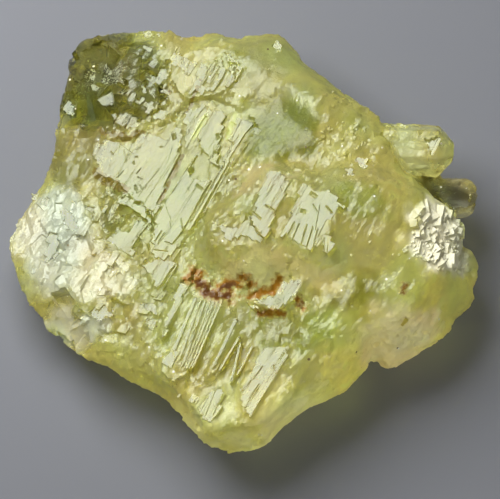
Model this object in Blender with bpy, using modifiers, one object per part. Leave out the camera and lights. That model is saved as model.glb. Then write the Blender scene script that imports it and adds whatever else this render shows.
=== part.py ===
"""Rough heliodor: one natural, etched and broken crystal of golden beryl, 30 mm long.

The crystal lies on a broken face. +Z is up, the origin is on that face, under the middle of the
bounding box, and +X runs towards the small crystals at one end. Lengths are in metres.
"""

import math

import bmesh
import bpy
from mathutils import Matrix, Vector

MM = 0.001

# Driving sizes of the stone
PLATE_NORMAL = Vector((-0.173, 0.061, 0.983)).normalized()  # what every etched plate faces
C_AXIS_BEARING = math.radians(57.5)  # of the long c axis, seen from above, from +X towards +Y
PLATE_HEIGHT = 8.0 * MM  # of the great plate above the resting face, at the middle
GRID = 0.55 * MM  # of the rough skin, before flat stretches are thinned out
KEPT_FACETS = 0.32  # the share of the rough skin's triangles that its shape needs
RESTING_CUT = 0.25 * MM  # how much of the underside is broken off flat
ROOT_DEPTH = 3.0 * MM  # how far a plate reaches into the stone
CLEARING = 2.0 * MM  # how far the stone is etched away over a plate
MOAT = 0.06 * MM  # how far the etched floor round a plate lies under its top

# The widest outline of the stone, seen from above, in millimetres, without the small crystals
GIRDLE = [
    (-9.3, 14.0), (-6.4, 14.2), (-5.0, 14.0), (-3.8, 13.3), (-2.2, 13.8), (-0.5, 13.5), (2.1, 13.6),
    (3.1, 12.8), (4.1, 11.5), (5.8, 10.0), (7.4, 8.9), (8.8, 7.6), (9.7, 5.8), (10.6, 3.9),
    (11.6, 1.9), (12.7, 0.0), (13.2, -1.6), (13.2, -3.3), (12.2, -4.8), (10.7, -6.2), (9.3, -7.2),
    (8.1, -7.2), (7.7, -8.6), (6.7, -9.5), (4.8, -10.6), (2.7, -12.1), (1.3, -13.5), (-0.5, -13.8),
    (-2.1, -13.3), (-3.6, -11.9), (-5.5, -10.0), (-7.8, -8.8), (-10.7, -7.4), (-12.6, -6.0),
    (-13.8, -4.6), (-14.4, -2.7), (-15.0, -0.5), (-14.9, 0.8), (-14.1, 2.3), (-13.0, 3.9),
    (-12.3, 6.0), (-12.1, 7.7), (-11.9, 9.5), (-11.8, 10.8), (-11.2, 12.3), (-10.2, 13.5),
]

# Level sections of the stone, bottom to top: size against the girdle, height at the middle in
# millimetres, and how much the section climbs towards +X for each millimetre
SECTIONS = [
    (0.50, 0.0, 0.00),
    (0.76, 1.0, 0.02),
    (0.92, 2.6, 0.04),
    (1.00, 4.6, 0.06),
    (0.98, 6.0, 0.10),
    (0.90, 7.1, 0.15),
    (0.74, 7.6, 0.17),
    (0.35, 7.7, 0.17),
]

# Rounded masses of the stone: middle (x, y, z), half sizes (x, y, z) and turn about +Z in
# degrees, in millimetres
MASSES = {
    "right_shoulder": ((7.6, 0.4, 6.4), (5.4, 4.3, 4.1), -18),
    "lower_lobe": ((10.3, -4.7, 4.4), (3.3, 2.6, 3.4), 32),
    "white_knot": ((12.1, 0.3, 5.2), (1.8, 2.3, 2.7), 24),
    "upper_flank": ((4.9, 7.3, 6.2), (4.8, 2.2, 2.8), -44),
    "lower_belly": ((1.8, -8.3, 5.0), (4.6, 3.5, 3.0), 34),
    "bottom_end": ((-0.3, -11.3, 4.6), (2.6, 2.2, 2.6), 20),
}

# The lowest shelves of the etched top, in the crystal's own axes: along the c axis, then across
# it, in millimetres. A shelf is its level over the great plate, and its outline.
SHELVES = {
    "upper_shelf": (0.25, [
        (0.9, 11.8), (0.9, 10.8), (1.2, 9.6), (2.0, 9.1), (2.9, 8.7), (3.7, 8.1), (5.1, 7.7), (5.7, 7.0),
        (6.4, 6.2), (7.0, 5.2), (7.3, 4.2), (8.3, 3.2), (9.6, 4.2), (10.2, 6.0), (9.9, 8.2), (8.4, 9.8),
        (6.0, 11.0), (3.4, 11.9),
    ]),
    "plate_shelf": (-0.25, [
        (-0.6, 11.6), (0.6, 11.6), (1.2, 9.6), (3.7, 8.1), (5.7, 7.0), (7.0, 4.8), (6.8, 2.7), (-5.9, 2.7),
        (-6.8, 3.1), (-5.5, 4.6), (-3.9, 5.1), (-2.7, 5.9), (-2.4, 7.0), (-2.0, 8.7),
    ]),
    "lower_shelf": (-0.95, [
        (-3.4, 0.6), (-2.2, -1.8), (-2.6, -5.8), (-4.2, -7.6), (-7.4, -8.4), (-10.4, -7.2), (-12.2, -4.8),
        (-11.6, -1.4), (-9.4, 1.6), (-5.8, 2.0),
    ]),
}

# The raised block between the shelves: the flat top and the foot of its slopes, in the same axes
BLOCK_LEVEL, BLOCK_FOOT_LEVEL = 1.3, -0.9
BLOCK_TOP = [
    (3.7, 0.7), (4.3, -0.8), (4.5, -2.8), (4.6, -4.4), (4.0, -5.4), (2.4, -5.8), (0.7, -5.6),
    (0.0, -4.9), (-0.4, -3.2), (-1.1, -1.9), (-1.8, -0.4), (-1.8, 0.9), (-1.0, 1.8), (0.3, 1.1),
    (1.6, 0.7),
]
BLOCK_FOOT = [
    (4.2, 2.0), (5.4, -0.6), (6.2, -2.8), (6.0, -4.8), (4.6, -6.3), (2.6, -7.2), (0.6, -6.9),
    (-1.2, -5.8), (-2.2, -4.4), (-3.0, -2.6), (-3.7, -0.4), (-3.4, 1.5), (-1.8, 2.6), (0.4, 2.4),
    (2.2, 1.9),
]

# Etched plates with sharp rims: level over the great plate, and outline, in the same axes
PLATES = {
    "great_plate": (0.0, [
        (-0.2, 11.4), (0.4, 11.3), (1.1, 9.5), (2.1, 9.0), (3.5, 7.7), (5.0, 7.4), (5.9, 6.6), (6.4, 4.7),
        (6.4, 3.6), (6.0, 2.9), (-5.4, 2.9), (-6.2, 3.1), (-5.1, 4.1), (-3.6, 4.6), (-2.1, 5.5),
        (-1.9, 6.7), (-1.5, 8.5), (-1.6, 10.2),
    ]),
    "upper_ledge": (0.55, [
        (7.0, 9.9), (8.2, 9.4), (9.2, 8.1), (9.5, 6.7), (9.0, 5.7), (7.7, 5.5), (6.8, 6.0), (5.9, 6.9),
        (5.4, 8.0), (6.0, 9.5),
    ]),
    "left_plate": (-0.2, [
        (-8.9, 9.0), (-8.3, 8.7), (-7.4, 7.2), (-7.7, 5.4), (-8.4, 5.1), (-8.9, 4.5), (-9.9, 4.7),
        (-9.8, 5.8), (-9.3, 7.7),
    ]),
    "hollow_plate": (-0.4, [
        (-3.8, 7.1), (-2.7, 6.4), (-2.8, 5.7), (-4.0, 5.4), (-5.2, 5.3), (-5.2, 6.3), (-5.0, 7.5),
    ]),
    "block_plate_long": (1.6, [
        (3.6, 0.3), (3.8, -0.6), (3.7, -1.2), (2.9, -1.5), (1.5, -1.8), (0.6, -1.9), (-0.4, -2.0),
        (-0.2, -1.4), (0.7, -0.3), (1.5, -0.3),
    ]),
    "block_plate_broad": (1.5, [
        (4.0, -2.1), (4.3, -2.7), (4.1, -3.3), (4.4, -3.9), (4.3, -4.6), (3.7, -5.2), (1.9, -5.5),
        (0.9, -5.3), (0.3, -4.7), (0.3, -3.0), (1.4, -2.9),
    ]),
    "block_plate_tongue": (1.1, [
        (-0.9, 1.6), (-1.1, 0.8), (-0.7, -0.2), (0.0, -0.5), (-0.3, -1.3), (-0.4, -1.9), (-1.1, -1.4),
        (-1.5, -0.3), (-1.6, 0.7),
    ]),
    "leaf_plate": (0.1, [
        (-3.9, -3.0), (-2.9, -4.1), (-2.2, -4.2), (-1.6, -4.5), (-1.0, -5.2), (-1.9, -5.4), (-2.7, -5.4),
        (-3.5, -5.0), (-3.9, -4.4),
    ]),
    "strip_outer": (-0.4, [(-5.5, 1.5), (-5.0, 1.2), (-6.1, 0.9), (-8.8, 0.7), (-8.0, 1.3), (-6.8, 1.4)]),
    "strip_broad": (-0.3, [
        (-5.4, 0.0), (-4.7, -1.3), (-5.9, -1.5), (-10.0, -1.8), (-10.6, -1.3), (-10.5, -0.4),
        (-9.5, 0.2), (-8.4, -0.2), (-7.1, -0.1),
    ]),
    "strip_fine": (-0.5, [
        (-5.3, -2.4), (-5.1, -3.1), (-6.5, -3.3), (-9.4, -3.5), (-9.6, -3.0), (-7.7, -2.6),
    ]),
    "strip_bright": (-0.6, [
        (-6.0, -4.9), (-5.0, -6.6), (-6.8, -6.8), (-9.9, -6.7), (-10.3, -6.3), (-9.6, -5.6),
        (-8.7, -5.1), (-7.3, -5.0),
    ]),
    "strip_low": (-0.75, [
        (-11.0, -2.7), (-10.0, -3.0), (-9.1, -4.0), (-9.7, -4.4), (-11.0, -4.6), (-11.8, -4.4),
        (-11.6, -3.6),
    ]),
}

# Grooves etched along the c axis: start and end along it, distance across it, width, and depth
# under the great plate, in millimetres
GROOVES = [
    (-2.4, 3.6, 5.05, 0.34, 0.45),
    (2.4, 6.6, 6.05, 0.22, 0.25),
    (-1.0, 6.6, 4.15, 0.26, 0.30),
    (-5.0, 5.4, 3.32, 0.14, 0.22),
    (-10.0, -4.9, -0.62, 0.20, 0.50),
    (-9.9, -5.2, -1.12, 0.16, 0.50),
    (-9.8, -6.2, -5.75, 0.16, 0.80),
]

# Small crystals on the +X end: root and tip of the axis, radius, the size of the tip face
# against it, and how long the narrowing tip is against the radius, in millimetres
SMALL_CRYSTALS = {
    "green_crystal": ((6.0, 5.9, 5.7), (12.1, 5.5, 6.0), 1.72, 0.30, 0.62),
    "clear_knob": ((9.5, 3.0, 5.0), (14.3, 2.75, 4.6), 1.42, 0.55, 0.42),
    "corner_spur": ((11.8, -2.3, 4.1), (14.2, -1.3, 4.4), 1.15, 0.50, 0.45),
}

# Shell-shaped chips: the middle of the scar on the stone, the way it faces, the radius of the
# hollow and how deep it goes, in millimetres
CHIPS = [
    ((-12.7, 0.9, 5.6), (-0.40, 0.05, 0.92), 8.0, 0.70),
    ((-14.4, 3.0, 4.0), (-0.90, 0.35, 0.25), 6.0, 0.45),
    ((-11.9, -5.4, 4.9), (-0.50, -0.60, 0.62), 8.0, 0.65),
    ((-10.2, 11.8, 6.4), (-0.50, 0.48, 0.72), 10.0, 0.75),
    ((-7.6, 12.9, 6.3), (-0.05, 0.66, 0.75), 9.0, 0.55),
    ((-11.3, 8.6, 6.0), (-0.80, 0.00, 0.60), 8.0, 0.40),
    ((-6.0, -9.9, 4.2), (-0.50, -0.75, 0.35), 9.0, 0.25),
    ((7.6, -9.2, 4.6), (0.50, -0.80, 0.20), 6.0, 0.45),
    ((9.6, 8.0, 4.2), (0.60, 0.75, 0.10), 7.0, 0.50),
    ((0.4, 13.4, 3.6), (0.00, 0.95, -0.20), 8.0, 0.55),
    ((-13.2, -3.6, 2.2), (-0.75, -0.35, -0.55), 9.0, 0.80),
    ((-9.6, 8.2, 1.8), (-0.62, 0.42, -0.66), 9.0, 0.80),
    ((3.6, -11.4, 2.0), (0.25, -0.75, -0.60), 9.0, 0.80),
    ((10.4, 0.6, 1.7), (0.75, 0.10, -0.65), 9.0, 0.80),
    ((4.2, 9.6, 1.8), (0.45, 0.60, -0.66), 9.0, 0.70),
]


def empty_the_scene():
    for old in list(bpy.data.objects):
        bpy.data.objects.remove(old, do_unlink=True)


def collection(name):
    made = bpy.data.collections.new(name)
    bpy.context.scene.collection.children.link(made)
    return made


def crystal_axes(group):
    """An empty with the crystal's own axes: +X along the c axis, +Z out of the etched plates."""
    bearing = Vector((math.cos(C_AXIS_BEARING), math.sin(C_AXIS_BEARING), 0.0))
    across = PLATE_NORMAL.cross(bearing).normalized()
    turn = Matrix((across.cross(PLATE_NORMAL), across, PLATE_NORMAL)).transposed().to_4x4()
    made = bpy.data.objects.new("crystal_axes", None)
    made.matrix_world = Matrix.Translation((0.0, 0.0, PLATE_HEIGHT)) @ turn
    group.objects.link(made)
    return made


def keep(bm, name, group, matrix=None):
    """Writes a bmesh into a new object of the group, with its faces pointing out."""
    bmesh.ops.recalc_face_normals(bm, faces=bm.faces)
    mesh = bpy.data.meshes.new(name)
    bm.to_mesh(mesh)
    bm.free()
    made = bpy.data.objects.new(name, mesh)
    group.objects.link(made)
    if matrix is not None:
        made.matrix_world = matrix
    return made


def as_helper(made):
    """A solid that only joins or cuts the stone, and is no piece of its own."""
    made.hide_render = True
    made.display_type = "WIRE"
    return made


def loft(bm, rings):
    """A closed skin through rings of points, capped at the first and the last."""
    loops = []
    for points in rings:
        verts = [bm.verts.new(point) for point in points]
        loops.append([bm.edges.new(pair) for pair in zip(verts, verts[1:] + verts[:1])])
    for lower, upper in zip(loops, loops[1:]):
        bmesh.ops.bridge_loops(bm, edges=lower + upper)
    for end in (loops[0], loops[-1]):
        bmesh.ops.contextual_create(bm, geom=end)


def at_level(outline, level):
    return [(along * MM, across * MM, level * MM) for along, across in outline]


def stone_body(group):
    """The broken body: a loft through the sections of the girdle."""
    bm = bmesh.new()
    loft(bm, [
        [(x * size * MM, y * size * MM, (height + climb * x * size) * MM) for x, y in GIRDLE]
        for size, height, climb in SECTIONS
    ])
    return keep(bm, "heliodor_crystal", group)


def rounded_mass(name, group, middle, half_sizes, turn):
    bm = bmesh.new()
    bmesh.ops.create_icosphere(bm, subdivisions=3, radius=1.0)
    place = (
        Matrix.Translation(Vector(middle) * MM)
        @ Matrix.Rotation(math.radians(turn), 4, "Z")
        @ Matrix.Diagonal((*(Vector(half_sizes) * MM), 1.0))
    )
    bmesh.ops.transform(bm, matrix=place, verts=bm.verts)
    return as_helper(keep(bm, name, group))


def scaled(outline, share):
    """An outline made larger or smaller about the middle of its points."""
    middle = [sum(point[axis] for point in outline) / len(outline) for axis in range(2)]
    return [[middle[axis] + (point[axis] - middle[axis]) * share for axis in range(2)] for point in outline]


def tapered(name, group, axes, outline, top, bottom):
    """A solid between two flat ends of one outline. Each end is its level and its size."""
    bm = bmesh.new()
    loft(bm, [at_level(scaled(outline, share), level) for level, share in (top, bottom)])
    return as_helper(keep(bm, name, group, axes.matrix_world))


def plate(name, group, axes, level, outline):
    """A flat-topped plate with slightly spreading walls, rooted in the stone."""
    return tapered(name, group, axes, outline, (level, 1.0), (level - ROOT_DEPTH / MM, 1.08))


def clearing(name, group, axes, level, outline):
    """The space over a plate, with a shallow moat round it, where the stone is etched away."""
    floor = level - MOAT / MM
    return tapered(name, group, axes, outline, (floor + CLEARING / MM, 1.18), (floor, 1.03))


def raised_block(group, axes):
    """The high block: a flat top over slopes that run out to a wider foot, and a root below it."""
    bm = bmesh.new()
    loft(bm, [
        at_level(BLOCK_FOOT, BLOCK_FOOT_LEVEL - ROOT_DEPTH / MM),
        at_level(BLOCK_FOOT, BLOCK_FOOT_LEVEL),
        at_level(BLOCK_TOP, BLOCK_LEVEL),
    ])
    return as_helper(keep(bm, "raised_block", group, axes.matrix_world))


def small_crystal(name, group, root, tip, radius, tip_share, tip_length):
    """A six-sided crystal that narrows to a small flat end."""
    axis = (Vector(tip) - Vector(root)) * MM
    middle = (Vector(root) + Vector(tip)) * 0.5 * MM
    bm = bmesh.new()
    bmesh.ops.create_cone(
        bm, cap_ends=True, segments=6, radius1=radius * MM, radius2=radius * MM, depth=axis.length
    )
    end = max(bm.faces, key=lambda face: face.calc_center_median().z)
    narrowed = bmesh.ops.inset_region(bm, faces=[end], thickness=radius * (1 - tip_share) * 0.86 * MM)
    tip_verts = {vert for vert in end.verts}
    bmesh.ops.translate(bm, vec=(0.0, 0.0, radius * tip_length * MM), verts=list(tip_verts))
    bmesh.ops.bevel(
        bm, geom=list(bm.edges), offset=0.10 * radius * MM, offset_type="OFFSET", segments=1,
        profile=0.5, affect="EDGES", material=-1,
    )
    turn = axis.to_track_quat("Z", "Y").to_matrix().to_4x4()
    return as_helper(keep(bm, name, group, Matrix.Translation(middle) @ turn))


def groove(number, group, axes, start, end, across, width, depth):
    bm = bmesh.new()
    bmesh.ops.create_cube(bm, size=1.0)
    height = 3.0
    place = Matrix.Translation(Vector(((start + end) / 2, across, height / 2 - depth)) * MM)
    size = Matrix.Diagonal((*(Vector((end - start, width, height)) * MM), 1.0))
    bmesh.ops.transform(bm, matrix=place @ size, verts=bm.verts)
    return as_helper(keep(bm, f"groove_{number}", group, axes.matrix_world))


def chip(number, group, scar, facing, radius, depth):
    """The hollow of a shell-shaped break: a sphere that dips this deep into the stone."""
    centre = (Vector(scar) + Vector(facing).normalized() * (radius - depth)) * MM
    bm = bmesh.new()
    bmesh.ops.create_icosphere(bm, subdivisions=4, radius=radius * MM)
    return as_helper(keep(bm, f"chip_{number}", group, Matrix.Translation(centre)))


def resting_cut(group):
    """A block under the stone that takes its underside off flat."""
    side, depth = 60 * MM, 10 * MM
    bm = bmesh.new()
    bmesh.ops.create_cube(bm, size=1.0)
    low = Matrix.Translation((0.0, 0.0, RESTING_CUT - depth / 2))
    bmesh.ops.transform(bm, matrix=low @ Matrix.Diagonal((side, side, depth, 1.0)), verts=bm.verts)
    return as_helper(keep(bm, "resting_cut", group))


def join_all(stone, name, operation, group):
    joined = stone.modifiers.new(name, "BOOLEAN")
    joined.operation = operation
    joined.solver = "EXACT"
    joined.operand_type = "COLLECTION"
    joined.collection = group


def etch(stone, axes):
    """The rough skin: an even grid, broad waves, and stepped blocks that follow the crystal's axes."""
    regrid = stone.modifiers.new("even grid", "REMESH")
    regrid.mode = "VOXEL"
    regrid.voxel_size = GRID

    waves = bpy.data.textures.new("broad waves", "CLOUDS")
    waves.noise_scale = 3.0 * MM
    blocks = bpy.data.textures.new("stepped blocks", "VORONOI")
    blocks.distance_metric = "CHEBYCHEV"
    blocks.color_mode = "POSITION"
    blocks.noise_scale = 1.9 * MM
    for pattern, height in ((waves, 0.50 * MM), (blocks, 0.45 * MM)):
        relief = stone.modifiers.new(pattern.name, "DISPLACE")
        relief.texture = pattern
        relief.texture_coords = "OBJECT"
        relief.texture_coords_object = axes
        relief.strength = height
        relief.mid_level = 0.5

    thinned = stone.modifiers.new("thinned facets", "DECIMATE")
    thinned.ratio = KEPT_FACETS


def beryl():
    """Golden beryl: clear, yellow-green, with satin etched faces."""
    made = bpy.data.materials.new("golden_beryl")
    made.use_nodes = True
    shader = made.node_tree.nodes["Principled BSDF"]
    shader.inputs["Base Color"].default_value = (0.60, 0.62, 0.16, 1.0)
    shader.inputs["Roughness"].default_value = 0.18
    shader.inputs["Metallic"].default_value = 0.0
    shader.inputs["IOR"].default_value = 1.575
    shader.inputs["Transmission Weight"].default_value = 0.9
    return made


def stand_on_origin(stone, root):
    """Moves everything so that the origin is under the middle of the box, on the resting face."""
    bpy.context.view_layer.update()
    shape = stone.evaluated_get(bpy.context.evaluated_depsgraph_get())
    corners = [shape.matrix_world @ vert.co for vert in shape.data.vertices]
    low = Vector(min(corner[axis] for corner in corners) for axis in range(3))
    high = Vector(max(corner[axis] for corner in corners) for axis in range(3))
    root.location = (-(low.x + high.x) / 2, -(low.y + high.y) / 2, -low.z)
    bpy.context.view_layer.update()


def build():
    empty_the_scene()
    stone_group = collection("heliodor")
    rough = collection("heliodor rough masses")
    cleared = collection("heliodor cleared plates")
    crisp = collection("heliodor plates and crystals")
    cut = collection("heliodor cutters")
    axes = crystal_axes(stone_group)

    stone = stone_body(stone_group)
    for name, sizes in MASSES.items():
        rounded_mass(name, rough, *sizes)
    for name, sizes in SHELVES.items():
        plate(name, rough, axes, *sizes)
    raised_block(rough, axes)

    for name, sizes in PLATES.items():
        plate(name, crisp, axes, *sizes)
        clearing(f"over_{name}", cleared, axes, *sizes)
    for name, sizes in SMALL_CRYSTALS.items():
        small_crystal(name, crisp, *sizes)

    for number, sizes in enumerate(GROOVES, start=1):
        groove(number, cut, axes, *sizes)
    for number, sizes in enumerate(CHIPS, start=1):
        chip(number, cut, *sizes)
    resting_cut(cut)

    join_all(stone, "rough masses", "UNION", rough)
    etch(stone, axes)
    join_all(stone, "etched down to the plates", "DIFFERENCE", cleared)
    join_all(stone, "plates and crystals", "UNION", crisp)
    join_all(stone, "grooves and breaks", "DIFFERENCE", cut)
    stone.data.materials.append(beryl())

    root = bpy.data.objects.new("stone_origin", None)
    stone_group.objects.link(root)
    for made in [*rough.objects, *cleared.objects, *crisp.objects, *cut.objects, axes, stone]:
        made.parent = root
    stand_on_origin(stone, root)


build()
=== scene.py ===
"""Looks of a rough heliodor crystal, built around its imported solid.

Lengths are in metres, +Z is up, and the origin is on the resting face, as in the solid.
"""

import math
import random

import bmesh
import bpy
from mathutils import Matrix, Vector, noise
from mathutils.bvhtree import BVHTree


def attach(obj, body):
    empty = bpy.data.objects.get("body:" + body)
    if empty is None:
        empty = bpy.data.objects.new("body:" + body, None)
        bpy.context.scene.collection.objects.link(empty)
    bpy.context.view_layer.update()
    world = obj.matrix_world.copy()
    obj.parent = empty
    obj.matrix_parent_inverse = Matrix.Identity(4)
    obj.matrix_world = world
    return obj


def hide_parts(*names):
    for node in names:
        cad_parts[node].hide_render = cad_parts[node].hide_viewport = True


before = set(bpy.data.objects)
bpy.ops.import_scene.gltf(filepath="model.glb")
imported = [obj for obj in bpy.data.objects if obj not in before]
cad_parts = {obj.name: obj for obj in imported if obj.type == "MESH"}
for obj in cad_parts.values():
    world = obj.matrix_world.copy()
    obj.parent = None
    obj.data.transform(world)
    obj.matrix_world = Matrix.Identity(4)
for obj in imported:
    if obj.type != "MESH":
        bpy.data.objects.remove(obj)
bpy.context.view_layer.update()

# ---- The body of the stone ------------------------------------------------------------------
# One natural crystal of golden beryl that lies on a broken face. Fluid in its pocket etched the
# outside into soft satin swellings and low steps along the crystal's own axes, and three places
# broke later, into small clear faces. The skin is the solid on a fine grid, with this relief.

MM = 0.001
PLATE_NORMAL = Vector((-0.173, 0.061, 0.983)).normalized()  # what every etched plate faces
C_AXIS_BEARING = math.radians(57.5)  # of the long c axis, from +X towards +Y
PLATE_MIDDLE = Vector((0.014, -0.129, 7.75)) * MM  # a point at the great plate's level
SKIN_GRID = 0.17 * MM  # size of a square of the fine grid
RESTING_FACE = 0.12 * MM  # below this the broken face it lies on stays flat
FACE_TILT = 1.6  # how far a small face rises over its own width, against its height
FACE_STEP = 0.4  # and how far it stands above or below the next one

# Soft relief of the etched skin: size of one swelling, then how high it stands, in millimetres
SWELLINGS = {"broad swellings": (2.6, 0.16), "small swellings": (0.9, 0.07), "grain": (0.38, 0.035)}

# Flat steps of the etched skin that each tilt their own way: size along the c axis, across it and
# up, then how high they stand, in millimetres
CHISELLED = {"blocks": ((1.6, 0.8, 1.2), 0.15), "chips": ((0.7, 0.34, 0.5), 0.08)}
# Parts of the skin that the fluid left calmer: middle and half sizes, in millimetres, and how much
CALMER = {
    "right shoulder": ((8.4, -1.0, 6.0), (6.4, 7.4, 7.0), 0.75),
    "valley": ((2.6, 6.2, 7.0), (4.0, 3.0, 4.0), 0.85),
    "top edge": ((2.2, 10.8, 6.0), (5.0, 3.4, 5.0), 0.75),
    "bottom end": ((2.0, -10.6, 5.0), (5.6, 3.6, 5.0), 0.6),
}

# Where the stone is fuller than its solid: middle, half sizes and push, in millimetres
FULLER = {
    "right side": ((13.0, -3.3, 3.4), (2.6, 2.5, 5.0), (1.5, -0.1, 0.0)),
    "foot of the lobe": ((9.2, -7.6, 3.0), (2.2, 1.8, 4.5), (-0.1, -0.7, 0.0)),
    "lower right edge": ((5.6, -9.4, 3.0), (3.0, 2.2, 4.5), (0.2, -0.3, 0.0)),
    "upper left edge": ((-10.6, 12.4, 4.0), (2.4, 2.0, 4.5), (-0.2, 0.3, 0.0)),
}

# Parts of the stone that broke glassy: middle, half sizes, size of one broken face, and its
# height, in millimetres
BROKEN_ENDS = {
    "silver end": ((-12.2, 0.0, 4.6), (3.9, 4.2, 5.0), 1.5, 0.20),
    "glassy corner": ((-9.0, 10.6, 6.0), (4.0, 4.6, 4.5), 1.7, 0.24),
    "low glassy side": ((-10.2, -5.6, 4.0), (3.6, 2.4, 4.0), 1.3, 0.17),
}

# Stretches where the etched skin goes down in level steps: middle and half sizes, then the
# height of a step, in millimetres
STEPPED = {
    "left hollow": ((-5.6, 1.6, 7.0), (3.6, 4.2, 3.0), 0.16),
    "upper hollow": ((-5.6, 9.5, 7.4), (5.0, 3.6, 3.0), 0.20),
}
STEP_BLOCK = (1.5, 0.5, 3.0)  # one block of the steps along the c axis, across it and up
STEP_SPREAD = 1.6  # how far whole blocks stand apart, in steps
STEPS_SHOW = (0.3, 0.7)  # how far the skin faces the plates' way where steps begin and are full

# Ground that is etched down round the plates: its level over the great plate, and its outline
# along and across the c axis, in millimetres
SUNK_GROUND = {
    "great plate": (-0.16, [
        (-0.1, 11.3), (0.6, 10.8), (1.4, 9.4), (2.3, 9.2), (3.6, 8.0), (5.4, 7.6), (6.3, 6.6),
        (6.5, 4.6), (6.4, 3.3), (6.0, 2.9), (-4.9, 2.9), (-4.6, 4.2), (-3.4, 5.1), (-1.9, 5.5),
        (-1.7, 6.7), (-1.6, 8.3), (-1.5, 10.2),
    ]),
    "upper ledge": (0.42, [
        (6.6, 10.2), (8.2, 9.6), (9.4, 8.2), (9.6, 6.6), (9.1, 5.4), (7.4, 5.2), (6.4, 6.2),
        (5.2, 7.4), (5.4, 9.4),
    ]),
    "strips": (-0.44, [
        (-5.0, 0.2), (-4.3, -1.4), (-5.8, -1.8), (-10.2, -2.0), (-10.8, -1.2), (-10.6, 0.0),
        (-9.5, 0.4), (-7.0, 0.2),
    ]),
}
SUNK_RELIEF = (0.5, 0.07)  # size and height of the roughness of that ground, in millimetres

# The crystal's own axes: along its c axis, across it, and out of its plates
bearing = Vector((math.cos(C_AXIS_BEARING), math.sin(C_AXIS_BEARING), 0.0))
across = PLATE_NORMAL.cross(bearing).normalized()
crystal_turn = Matrix((across.cross(PLATE_NORMAL), across, PLATE_NORMAL)).transposed()
crystal_axes = Matrix.Translation(PLATE_MIDDLE) @ crystal_turn.to_4x4()
to_crystal = crystal_axes.inverted()


def piece(name, bm):
    """Writes a bmesh into a new object of the scene."""
    mesh = bpy.data.meshes.new(name)
    bm.to_mesh(mesh)
    bm.free()
    made = bpy.data.objects.new(name, mesh)
    bpy.context.scene.collection.objects.link(made)
    return made


def settle(made):
    """Applies an object's modifiers to its mesh."""
    bpy.context.view_layer.update()
    shape = made.evaluated_get(bpy.context.evaluated_depsgraph_get())
    mesh = bpy.data.meshes.new_from_object(shape)
    made.modifiers.clear()
    old, made.data = made.data, mesh
    bpy.data.meshes.remove(old)


def within(point, middle, half_sizes, border=0.3):
    """1 inside an egg-shaped part of the stone, fading to 0 over its border."""
    span = math.hypot(*((point[i] / MM - middle[i]) / half_sizes[i] for i in range(3)))
    return max(0.0, min(1.0, (1.0 - span) / border))


def ramp(value, low, high):
    """How far a value has come from a low one to a high one, from 0 to 1."""
    return max(0.0, min(1.0, (value - low) / (high - low)))


def eased(share):
    """A share from 0 to 1 that starts and ends gently."""
    return share * share * (3.0 - 2.0 * share)


def cell_of(point, sizes, metric):
    """The middle of the cell that a point falls in, and the point from there, both in cells."""
    scaled = Vector(point[i] / (sizes[i] * MM) for i in range(3))
    middle = noise.voronoi(scaled, distance_metric=metric)[1][0]
    return middle, scaled - middle


def tilted_faces(point, sizes):
    """How far out a skin of flat faces stands at a point: each cell tilts its own way."""
    middle, inside = cell_of(point, sizes, "DISTANCE")
    tilt = noise.cell_vector(middle * 37.0) - Vector((0.5, 0.5, 0.5))
    return inside.dot(tilt) * FACE_TILT + (noise.cell(middle * 53.0) - 0.5) * FACE_STEP


bm = bmesh.new()
bm.from_mesh(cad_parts["heliodor_crystal"].data)
bmesh.ops.remove_doubles(bm, verts=bm.verts, dist=0.001 * MM)
skin = piece("heliodor_skin", bm)
axes = bpy.data.objects.new("crystal_axes", None)
axes.matrix_world = crystal_axes
bpy.context.scene.collection.objects.link(axes)

regrid = skin.modifiers.new("fine grid", "REMESH")
regrid.mode = "VOXEL"
regrid.voxel_size = SKIN_GRID
softened = skin.modifiers.new("worn facets", "SMOOTH")
softened.factor = 0.5
softened.iterations = 5
for name, (size, height) in SWELLINGS.items():
    pattern = bpy.data.textures.new(name, "CLOUDS")
    pattern.noise_scale = size * MM
    relief = skin.modifiers.new(name, "DISPLACE")
    relief.texture = pattern
    relief.texture_coords = "OBJECT"
    relief.texture_coords_object = axes
    relief.strength = height * MM
    relief.mid_level = 0.5
settle(skin)
bpy.data.objects.remove(axes)

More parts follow.
